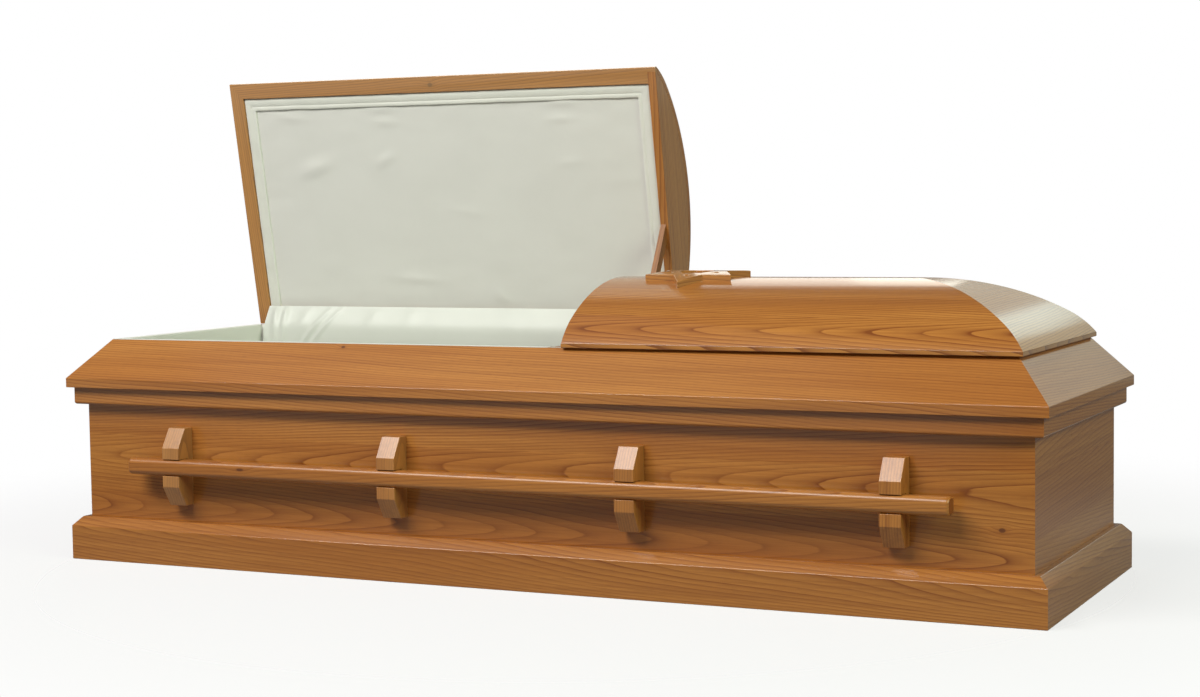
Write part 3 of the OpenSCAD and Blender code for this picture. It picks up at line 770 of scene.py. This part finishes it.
# %% Star
STAR_R = (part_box("star")[1].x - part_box("star")[0].x) / math.sqrt(3)
STAR_STRIP = 0.0195
STAR_T = 0.0124
STAR_MIDDLE = (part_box("star")[0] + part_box("star")[1]) / 2
STAR_ROUND = 0.0013
STAR_STEP = 0.008
STRIP_TURNS = [base + turn for base in (0, 60) for turn in (0, 120, 240)]


def star_loops():
    """The star's outline and its seven holes, as rings of (x, y)."""
    def point(reach, degrees):
        return (reach * math.cos(math.radians(degrees)), reach * math.sin(math.radians(degrees)))

    notch = STAR_R / math.sqrt(3)
    outline = [point(STAR_R if i % 2 else notch, 30 * i) for i in range(12)]
    inner = STAR_R / 2 - STAR_STRIP
    middle = [point(inner * 2 / math.sqrt(3), 60 * i) for i in range(6)]
    reach, foot = STAR_R - 2 * STAR_STRIP, STAR_R / 2
    half = (reach - foot) / math.sqrt(3)
    holes = []
    for i in range(6):
        turn = Matrix.Rotation(math.radians(60 * i + 30), 2)
        holes.append([tuple(turn @ Vector(p)) for p in ((reach, 0), (foot, half), (foot, -half))])
    return [outline, middle, *holes]


def strip_at(p):
    """The strip of the star that a point lies on, which has its grain along its own length."""
    def lies_on(degrees):
        facing = math.radians(degrees + 90)
        inward = -(p.x * math.cos(facing) + p.y * math.sin(facing))
        return STAR_R / 2 - STAR_STRIP - 1e-5 < inward < STAR_R / 2 + 1e-5

    degrees = next((turn for turn in STRIP_TURNS if lies_on(turn)), 0)
    # The star's pale tan is a painted sheen for the whitish look of its faces in glancing light.
    return Cut(-0.09, 0.04, 320.0 + degrees, tone=0.10, turn=degrees)


def star():
    bm = bmesh.new()
    edges = []
    for loop in star_loops():
        ring = [bm.verts.new((x, y, STAR_T)) for x, y in loop]
        edges += [bm.edges.new((a, b)) for a, b in zip(ring, ring[1:] + ring[:1])]
    bmesh.ops.triangle_fill(bm, edges=edges, use_beauty=True, use_dissolve=False)
    bmesh.ops.dissolve_limit(bm, angle_limit=0.01, verts=bm.verts, edges=bm.edges, delimit=set())
    lower = bmesh.ops.extrude_face_region(bm, geom=bm.faces[:])
    for v in (g for g in lower["geom"] if isinstance(g, bmesh.types.BMVert)):
        v.co.z = 0
    bmesh.ops.recalc_face_normals(bm, faces=bm.faces)
    upper = [e for e in outward_edges(bm, least=0.001, mitred=False)
             if max(v.co.z for v in e.verts) > STAR_T / 2]
    round_edges(bm, upper, STAR_ROUND)
    for step in range(-13, 14):
        part_at(bm, (0, STAR_STEP * step, 0), (0, 1, 0))
    for degrees in range(0, 360, 60):
        facing = Matrix.Rotation(math.radians(degrees), 3, "Z") @ Vector((0, 1, 0))
        for reach in (STAR_R / 2 - STAR_STRIP, STAR_R / 2):
            part_at(bm, facing * reach, facing)
    for v in bm.verts:
        y = v.co.y + STAR_MIDDLE.y
        v.co = (v.co.x + STAR_MIDDLE.x, y, CROWN_Z + math.sqrt((CROWN_R + v.co.z) ** 2 - y ** 2))
    piece = finish_mesh(bm, "oak_star", OAKS["oak_lid"])
    write_log(piece.data, lambda p: Vector((p.x - STAR_MIDDLE.x, p.y - STAR_MIDDLE.y,
                                            math.hypot(p.y, p.z - CROWN_Z) - CROWN_R)), strip_at)
    return stand_for(piece, "case", "star")


star()

# %% [markdown]
# ## Prop and brass
# The prop is a plain stick with eased edges that leans against the open lid. The hinges are
# hardly seen, so their shapes stay as packed, and get a real brass: a metal with a slightly
# dulled, brushed surface.

# %% Prop and brass
PROP_LEAN = 28.4


def flat_on_prop():
    low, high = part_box("prop")
    lean = math.radians(PROP_LEAN)
    along = Vector((0, math.sin(lean), math.cos(lean)))
    across = Vector((0, math.cos(lean), -math.sin(lean)))
    axes = Matrix((along, across, along.cross(across))).transposed().to_4x4()
    return flat_on(Matrix.Translation((low + high) / 2) @ axes)


# The prop takes the darker copy of the oak, painted shade.
set_board("prop", "prop", "oak_inside", flat_on_prop(), [Cut(0.05, 0.03, 340.0)], width=0.001, least=0.009)


def brass_finish():
    f = Finish("brass", metallic=1.0)
    where = f.node("ShaderNodeTexCoord", output=3)
    brushed = f.cloud(where, 60.0, 2400.0, detail=2.0)
    dull = f.cloud(where, 40.0, 40.0, detail=2.0)
    f.wear("Base Color", f.blend(dull, colour(0.80, 0.57, 0.22), colour(0.52, 0.34, 0.12)))
    f.wear("Roughness", 0.22 + dull * 0.22)
    f.emboss(0.1, 0.0002, brushed)
    return f.material


brass = brass_finish()
for name, node in frame["nodes"].items():
    if name.startswith("hinge_") or name == "prop_pin":
        node.data.materials.clear()
        node.data.materials.append(brass)
        print("brass:", name)

# %% [markdown]
# ## Cloth
# All the cloth is off-white: a matt twill in the lids and round the box, and a satin for the
# apron that hides the hinge line. A cloth simulation would settle such short, fixed pieces
# within a few millimetres of where they are pinned, so they are shaped directly: a grid of
# points on the cloth's middle surface, moved by a few listed folds and by a slow, repeatable
# noise. `cloth_from` gives the grid its thickness and leaves out the cells
# where another piece passes through. The attribute `weave` holds the place on the flat cloth,
# so threads stay straight whatever the folds do.

# %% Cloth finishes
CLOTH_WHITE = colour(0.81, 0.81, 0.755)
CLOTH_SHADE = colour(0.77, 0.77, 0.715)
BORDER_WHITE = colour(0.86, 0.87, 0.79)
BORDER_SHADE = colour(0.80, 0.81, 0.73)
SATIN_WHITE = colour(0.64, 0.66, 0.60)
SATIN_SHADE = colour(0.60, 0.62, 0.56)


def cloth_finish(name, light, dark, thread, roughness, **plain):
    f = Finish(name, **plain)
    place = f.stored("weave")
    warp, weft, _ = f.parts(place)
    ribs = f.maths("SINE", (warp + weft * 0.5) * (2 * math.pi / thread))
    cross = f.maths("SINE", (weft - warp * 0.2) * (2 * math.pi / (thread * 1.3)))
    slub = f.cloud(place, 60.0, 900.0, detail=1.0)
    soft = f.cloud(place, 7.0, 9.0, detail=3.0)
    f.wear("Base Color", f.blend(f.between(soft, 0.3, 0.75) * 0.6 + slub * 0.25, light, dark))
    f.wear("Roughness", roughness + slub * 0.08)
    f.emboss(0.16, 0.0003, ribs * 0.3 + cross * 0.2 + slub * 0.6)
    return f.material


LINING = cloth_finish("lining_cloth", CLOTH_WHITE, CLOTH_SHADE, 0.0016, 0.82, sheen_weight=0.25,
                      sheen_roughness=0.5)
SATIN = cloth_finish("satin_cloth", SATIN_WHITE, SATIN_SHADE, 0.0009, 0.33,
                     specular_ior_level=0.45, sheen_weight=0.20, sheen_roughness=0.35)
BORDER = cloth_finish("border_cloth", BORDER_WHITE, BORDER_SHADE, 0.0012, 0.55, sheen_weight=0.3,
                      sheen_roughness=0.4)
print("cloths:", LINING.name, SATIN.name, BORDER.name)

# %% Cloth on a grid
def spaced(start, stop, step, *stops):
    """Places from start to stop, about a step apart, with every stop among them."""
    marks = [start, *stops, stop]
    places = [start]
    for a, b in zip(marks, marks[1:]):
        count = max(1, round((b - a) / step))
        places += [a + (b - a) * (i + 1) / count for i in range(count)]
    return places


def waves(x, y, scale, height, seed=0.0):
    return height * noise.noise(Vector((x * scale, y * scale, seed)))


def fade(value, low, high):
    t = min(max((value - low) / (high - low), 0.0), 1.0)
    return t * t * (3 - 2 * t)


def woven(bm):
    """A way to add points to a cloth that know their place, u and v, on it when it lies flat."""
    weave = bm.verts.layers.float_vector.new("weave")

    def point(co, u, v):
        vert = bm.verts.new(co)
        vert[weave] = (u, v, 0)
        return vert
    return point


def close_grid(bm, upper, lower, gone=lambda i, j: False):
    """Faces over and under two grids of points, and round the edge of the cells that are kept."""
    kept = {(i, j) for i in range(len(upper) - 1) for j in range(len(upper[0]) - 1) if not gone(i, j)}
    for i, j in sorted(kept):
        corners = [(i, j), (i + 1, j), (i + 1, j + 1), (i, j + 1)]
        bm.faces.new([upper[a][b] for a, b in corners])
        bm.faces.new([lower[a][b] for a, b in reversed(corners)])
        beside = [(i, j - 1), (i + 1, j), (i, j + 1), (i - 1, j)]
        for neighbour, (a, b), (c, d) in zip(beside, corners, corners[1:] + corners[:1]):
            if neighbour not in kept:
                bm.faces.new([upper[c][d], upper[a][b], lower[a][b], lower[c][d]])
    bmesh.ops.delete(bm, geom=[v for v in bm.verts if not v.link_faces], context="VERTS")


def cloth_from(name, us, vs, place, thick, material, gone=lambda u, v: False, placing=None):
    """A closed cloth on the grid us by vs: place(u, v) is a point of its middle surface."""
    grid = [[Vector(place(u, v)) for v in vs] for u in us]
    last_u, last_v = len(us) - 1, len(vs) - 1
    bm = bmesh.new()
    point = woven(bm)
    upper, lower = [], []
    for i, u in enumerate(us):
        upper.append([])
        lower.append([])
        for j, v in enumerate(vs):
            along = grid[min(i + 1, last_u)][j] - grid[max(i - 1, 0)][j]
            across = grid[i][min(j + 1, last_v)] - grid[i][max(j - 1, 0)]
            out = along.cross(across).normalized() * (thick / 2)
            upper[i].append(point(grid[i][j] + out, u, v))
            lower[i].append(point(grid[i][j] - out, u, v))
    close_grid(bm, upper, lower, lambda i, j: gone((us[i] + us[i + 1]) / 2, (vs[j] + vs[j + 1]) / 2))
    return finish_mesh(bm, name, material, placing)


print("cloth is cut on a grid")

# %% [markdown]
# ## Cloth round the box
# Four panels hang from the rim's inner edge to the padded floor. The front and head ones are
# turned over the rim's flat top. The bridge's ends pass through the front and back ones.

# %% Box linings
SKIN = 0.0005
INNER_LEN = HALF_LEN - RIM_IN - RIM_FLAT
INNER_WID = HALF_WID - RIM_IN - RIM_FLAT
LINING_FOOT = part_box("lining_front")[0].z
LINING_T = 0.003
BRIDGE_LOW, BRIDGE_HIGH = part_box("bridge")
SLACK = 0.001


def lining_panel(side, over, seed, corner=0.06):
    """One hung panel. v runs down from the rim's inner edge, and above it over the flat top.

    Near a corner, the part on the flat top spreads to meet its neighbour at the mitre."""
    bridged = side in ("front", "back")
    half, reach = (INNER_LEN, INNER_WID) if bridged else (INNER_WID, INNER_LEN)
    fall = RIM_TOP - LINING_FOOT
    turn = Matrix.Rotation(math.radians(TURNS[side]), 3, "Z")
    sign = -1 if side == "back" else 1
    gap = sorted((sign * (BRIDGE_LOW.x - SLACK), sign * (BRIDGE_HIGH.x + SLACK)))
    open_from = BRIDGE_LOW.x - SLACK
    passage = RIM_TOP - BRIDGE_LOW.z + SLACK

    def place(u, v):
        outward = max(-v, 0.0)
        stretch = max(0.0, (abs(u) - half + corner) / corner)
        x = u + math.copysign(outward * stretch, u)
        if v <= 0:
            return turn @ Vector((x, -(reach + outward), RIM_TOP + SKIN / 2))
        loose = fade(v, 0.02, 0.14) * (1 - 0.6 * fade(v, fall - 0.05, fall))
        bulge = loose * (0.6 * LINING_T / 2 + waves(u, v * 0.5, 7.0, 0.0016, seed))
        return turn @ Vector((x, -(reach - LINING_T / 2 - bulge), RIM_TOP - v))

    def gone(u, v):
        past = gap[0] < u < gap[1] and v < passage
        return bridged and (past or (v < 0 and sign * u > open_from))

    us = spaced(-half + LINING_T / 2, half - LINING_T / 2, 0.013, *(gap if bridged else ()))
    vs = spaced(-over, fall, 0.012, *((0.0,) if over else ()), 0.002, passage)
    piece = cloth_from(f"cloth_{side}", us, vs, place, SKIN, LINING, gone)
    stand_for(piece, "case", f"lining_{side}")
    2 * half
    return piece


for number, side in enumerate(("front", "back", "head", "foot")):
    lining_panel(side, RIM_FLAT if side in ("front", "head") else 0.0, 3.0 + number)


def floor_pad(channel=0.1602, rounding=0.02, gap=0.002, under=0.0003, skirt=0.0015):
    """A thin quilted pad on the floor board, sewn across in channels."""
    low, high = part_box("lining_floor")
    us = spaced(low.x + gap, high.x - gap, 0.012)
    vs = spaced(low.y + gap, high.y - gap, 0.012)

    def top(u, v):
        edge = min(u - us[0], us[-1] - u, v - vs[0], vs[-1] - v)
        crown = math.sqrt(fade(edge, -0.004, rounding))
        seam = abs((u + channel / 2) % channel - channel / 2)
        puff = 0.45 + 0.55 * math.sqrt(fade(seam, -0.003, 0.035))
        return crown * puff + waves(u, v, 9.0, 0.05, 8.0)

    bm = bmesh.new()
    point = woven(bm)
    thick = high.z - low.z - 0.001
    upper = [[point((u, v, low.z + skirt + top(u, v) * thick), u, v) for v in vs] for u in us]
    lower = [[point((u, v, low.z + under), u, v) for v in vs] for u in us]
    close_grid(bm, upper, lower)
    piece = finish_mesh(bm, "cloth_floor", LINING)
    stand_for(piece, "case", "lining_floor")
    return piece


floor_pad()

# %% [markdown]
# ## Cloth in the lids
# A board covered with cloth closes each lid. The cloth was pulled tight to the edges, which
# leaves faint, shallow creases near them. Round it on the head lid goes a stuffed band with a
# thin welt at its inner edge, on three sides: the apron covers the fourth. A band swept round
# a rectangle mitres its own corners, if each point of its section keeps the same distance from
# the outside.

# %% Lid linings
PANEL_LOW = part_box("foot_lid_lining")[0].z


def lid_room(lid):
    """The flat room inside a shut lid's rails: lowest and highest x, and half its width."""
    low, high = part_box(f"{lid}_lining")
    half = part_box("foot_lid_lining")[1].y
    return (low.x, high.x, half) if lid == "foot_lid" else (-high.x, -low.x, half)


DENT_DEPTH = 2.2
DENTS = [(0.17, -0.083, 0.045, 0.017, -0.30, 0.0013), (0.36, -0.100, 0.030, 0.012, -0.50, 0.0008),
         (0.36, -0.215, 0.035, 0.008, 0.05, 0.0006), (0.37, -0.185, 0.030, 0.008, 0.00, 0.0005),
         (0.68, -0.225, 0.040, 0.008, 0.05, 0.0007), (0.81, -0.215, 0.040, 0.008, -0.05, 0.0007),
         (0.81, -0.180, 0.035, 0.008, 0.00, 0.0005), (0.82, -0.085, 0.030, 0.011, -0.10, 0.0005),
         (0.41, 0.175, 0.060, 0.010, 0.05, 0.0006), (0.62, 0.215, 0.022, 0.014, 0.80, 0.0008),
         (0.12, -0.200, 0.040, 0.010, 0.20, 0.0005), (0.55, 0.020, 0.050, 0.012, 0.15, 0.0004)]


def dents(far, up):
    """A few shallow puckers, each a long soft bump: its place, length, width, turn and height."""
    total = 0.0
    for at, level, long, wide, turn, height in DENTS:
        x, y = far - at, up - level
        along = x * math.cos(turn) + y * math.sin(turn)
        across = y * math.cos(turn) - x * math.sin(turn)
        total += DENT_DEPTH * height * math.exp(-(along / long) ** 2 - (across / wide) ** 2)
    return total


def lid_panel(lid, seed, step, thick=0.0028, middle=0.0017, tight=0.0008):
    """A cloth-covered board. Nothing of it stands higher than tight above its middle surface."""
    x0, x1, half = lid_room(lid)

    def place(u, v):
        edge = min(u - x0, x1 - u, half - abs(v))
        near = 1 - fade(edge, 0.03, 0.22)
        crease = waves(u * 0.4, v, 34.0, 0.0006 * near, seed) + waves(u, v * 0.4, 9.0, 0.0009, seed + 4)
        dent = dents(x1 - u, v)
        return (u, v, PANEL_LOW + middle - max(crease + dent, -tight) * fade(edge, 0, 0.03))

    piece = cloth_from(f"cloth_{lid}_panel", spaced(x0, x1, step), spaced(-half, half, step), place, thick,
                       LINING, placing=LID_PLACE[lid])
    stand_for(piece, BODY_OF[lid], f"{lid}_lining")
    return piece


lid_panel("head_lid", 21.0, step=0.0045)
lid_panel("foot_lid", 27.0, step=0.009)


def border_section(deep, band=0.0188, welt_r=0.0044, thin=0.0004):
    """The stuffed band and its welt in section. A point is (inset from the rail, fall)."""
    welt = band + 0.0006
    section = [(thin, 0.0), (thin, deep * 0.35)]
    for i in range(1, 15):
        t = i / 14
        swell = 0.60 + 0.22 * math.sin(math.pi * t ** 0.8) - 0.08 * t ** 8
        section.append((thin + band * t, deep * swell))
    for i in range(1, 8):
        angle = math.pi * (1 - i / 8)
        section.append((welt + welt_r * (1 + math.cos(angle)), deep * (0.46 + 0.20 * math.sin(angle))))
    return section + [(welt + 2 * welt_r, deep * 0.25), (welt + 2 * welt_r + 0.0002, 0.0)]


def head_border(step=0.008, clear=0.0016, sunk=0.0004):
    """The band and welt swept round three sides of the lid, as one closed form.

    It stays clear of the lid's lower face, and its back lies sunk in the panel."""
    x0, x1, half = lid_room("head_lid")
    deep = PANEL_LOW - LID_LOW - clear
    section = border_section(deep)
    corners = [(x0, half, 1, 0), (x0, -half, 1, 1), (x1, -half, -1, 1), (x1, half, -1, 0)]
    bm = bmesh.new()
    point = woven(bm)
    rings, gone_by = [], 0.0
    for a, b in zip(corners, corners[1:]):
        length = math.hypot(b[0] - a[0], b[1] - a[1])
        count = round(length / step)
        for i in range(count + 1 if b == corners[-1] else count):
            t = i / count
            s = gone_by + length * t
            sway = waves(s, 0, 16.0, 0.0011, 31.0) * fade(min(t, 1 - t) * length, 0.01, 0.06)
            plump = 1 + waves(s, 0, 24.0, 0.16, 37.0) + waves(s, 0, 70.0, 0.10, 39.0)
            ring = []
            for inset, fall in section:
                into = inset + sway * inset / section[-1][0]
                x, y = ((a[k] + a[k + 2] * into) * (1 - t) + (b[k] + b[k + 2] * into) * t for k in (0, 1))
                ring.append(point((x, y, PANEL_LOW + sunk - min(fall * plump, deep)), s, inset))
            rings.append(ring)
        gone_by += length
    join_rings(bm, rings)
    piece = finish_mesh(bm, "cloth_head_lid_border", BORDER, LID_PLACE["head_lid"])
    stand_for(piece, "head_lid", "head_lid_border")
    return piece


head_border()

# %% [markdown]
# ## Apron
# A strip of satin covers the hinge line: it is pinned to the lid, bends over the rim's inner
# edge and falls into the box. A few folds lean across it where it was pulled to the pins. When
# the lid shuts, its upper part would have to turn with the lid while the rest stays; here it is
# built as it lies with the lid open, in one piece that is put on neither body.

# %% Apron
APRON_LOW, APRON_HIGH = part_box("lid_apron")
APRON_LINE = [(0.2736, 0.5094), (0.2485, 0.4660), (0.2425, 0.4320), (0.2425, 0.3300)]
FOLDS = [(-0.925, 0.16, 0.009, 0.0044), (-0.899, 0.05, 0.008, 0.0040), (-0.797, -0.75, 0.007, 0.0030),
         (-0.768, -0.80, 0.006, 0.0026), (-0.845, -0.30, 0.014, 0.0018), (-0.66, -0.30, 0.018, 0.0012),
         (-0.56, -0.25, 0.020, 0.0014), (-0.30, 0.20, 0.024, 0.0012), (-0.14, 0.35, 0.016, 0.0011),
         (-0.02, -0.15, 0.018, 0.0014)]


def along_line(line, distance):
    """The point at a distance along a line of (y, z) points, and the line's normal there."""
    for (ay, az), (by, bz) in zip(line, line[1:]):
        length = math.hypot(by - ay, bz - az)
        if distance <= length or (by, bz) == line[-1]:
            t = min(distance / length, 1.0)
            return ay + (by - ay) * t, az + (bz - az) * t, (bz - az) / length, -(by - ay) / length
        distance -= length


def apron(blur=0.012, pinned=0.030):
    """The cloth runs along APRON_LINE, which is blurred so that it bends softly.

    A fold is its place along the hinge where the cloth is pinned, its lean, width and height."""
    total = sum(math.dist(a, b) for a, b in zip(APRON_LINE, APRON_LINE[1:]))
    us = spaced(APRON_LOW.x, APRON_HIGH.x, 0.0035)
    vs = spaced(0.0, total, 0.005)
    ends = {vs[0]: APRON_LINE[0], vs[-1]: APRON_LINE[-1]}

    def place(u, v):
        near = [min(max(v + share * blur, 0.0), total) for share in (-1, -0.5, 0, 0.5, 1)]
        samples = [along_line(APRON_LINE, distance) for distance in near]
        y, z, ny, nz = (sum(s[k] for s in samples) / len(samples) for k in range(4))
        y, z = ends.get(v, (y, z))
        lift = waves(u, v * 0.35, 18.0, 0.0011, 41.0)
        for at, lean, wide, height in FOLDS:
            lift += height * math.exp(-((u - at - lean * (v - pinned)) / wide) ** 2)
        lift *= fade(v, -0.004, 0.020)
        return (u, y + ny * lift, z + nz * lift)

    piece = cloth_from("cloth_apron", us, vs, place, 0.0012, SATIN)
    piece.modifiers.clear()
    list(APRON_LINE[1])
    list(APRON_LINE[0])
    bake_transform(piece)
    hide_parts("lid_apron")
    us[-1] - us[0]
    print(f"apron: {us[-1] - us[0]:.3f} by {total:.3f} m")
    return piece


apron()

# %% [markdown]
# ## Floor, light and surroundings
# The casket stands on a pale floor that fades out into white, so that only its soft contact
# shadow shows. Lacquered wood shows mostly what it mirrors, so each light stands where some
# faces mirror it. The key light is a long soft box above the front, a little to the left: the
# bracket tops mirror it and shine almost white. The low panels far behind lie in the way of
# the glancing reflections: one gives the cream edge on the crown, one the silvery foot end. A
# faint glow lies on the floor in front for the open lid's frame, which faces slightly down.
# A soft fill from beyond the foot end lights the end wall.
# The world is white to look at, but dim as a light, so that the shadows keep their depth.

# %% Light
def soft_light(name, place, toward, size, watts, warmth=(1.0, 0.98, 0.95)):
    lamp = bpy.data.lights.new(name, "AREA")
    lamp.shape = "RECTANGLE"
    lamp.size, lamp.size_y = size
    lamp.energy = watts
    lamp.color = warmth
    held = bpy.data.objects.new(name, lamp)
    held.location = place
    held.rotation_euler = (Vector(toward) - Vector(place)).to_track_quat("-Z", "Y").to_euler()
    held.visible_camera = False
    bpy.context.scene.collection.objects.link(held)
    return held


soft_light("key_light", (-1.85, -3.95, 4.95), (0.1, -0.05, 0.35), (5.1, 1.6), 370)
soft_light("floor_glow", (-2.2, -3.5, 0.02), (-2.2, -3.49, 1.0), (4.8, 1.7), 16, (1, 1, 0.97))
soft_light("end_fill", (4.6, -1.6, 2.7), (0.9, 0.0, 0.35), (2.4, 2.4), 110, (0.98, 1.17, 0.87))
soft_light("end_panel", (0.6, 4.2, 2.0), (0.9, 0.0, 0.5), (3.0, 1.7), 9, (0.95, 1.0, 0.85))
soft_light("hip_panel", (0.98, 4.2, 1.80), (0.85, 0.0, 0.55), (0.8, 0.7), 1.6, (0.75, 1.0, 1.0))
soft_light("side_glow", (2.1, 4.3, 0.62), (0.1, 0.3, 0.6), (2.2, 1.2), 1.4, (0.8, 1.0, 0.85))
soft_light("low_panel", (-1.9, 4.2, 2.25), (-0.2, 0.0, 0.5), (3.4, 1.9), 32, (1, 0.96, 0.85))
soft_light("ceiling", (-2.0, -1.0, 4.2), (-0.2, -0.3, 0.5), (4.6, 2.4), 8, (1, 1, 1))


def make_world(seen=1.0, level=0.11, above=0.08):
    """White to look at. As a light it is brighter round the horizon than overhead."""
    world = bpy.data.worlds.new("surroundings")
    bpy.context.scene.world = world
    g = Graph(world)
    facing = g.node("ShaderNodeTexCoord", output=0)
    height = g.parts(facing)[2]
    glow = g.node("ShaderNodeMapRange", {}, {"Value": height, "From Min": 0.05, "From Max": 0.30,
                                             "To Min": level, "To Max": above})
    seen_at_once = g.node("ShaderNodeLightPath", output=0)
    strength = g.node("ShaderNodeMapRange", {}, {"Value": seen_at_once, "To Min": glow, "To Max": seen})
    background = g.already("BACKGROUND")
    g.feed(background.inputs["Strength"], strength)
    g.feed(background.inputs["Color"], (1, 1, 1, 1))
    return world


make_world()
bpy.context.scene.view_settings.view_transform = "Standard"


def make_floor(radius=3.2, clear_from=1.0, clear_at=2.4, cover=0.28):
    f = Finish("pale_floor", base_color=colour(0.86, 0.86, 0.86), roughness=0.6)
    where = f.node("ShaderNodeNewGeometry", output=0)
    reach = f.node("ShaderNodeVectorMath", {"operation": "LENGTH"}, {0: where}, output=1)
    f.wear("Alpha", (1 - f.between(reach, clear_from, clear_at)) * cover)
    bm = bmesh.new()
    bmesh.ops.create_circle(bm, cap_ends=True, radius=radius, segments=96)
    floor = finish_mesh(bm, "floor", f.material)
    return floor


make_floor()
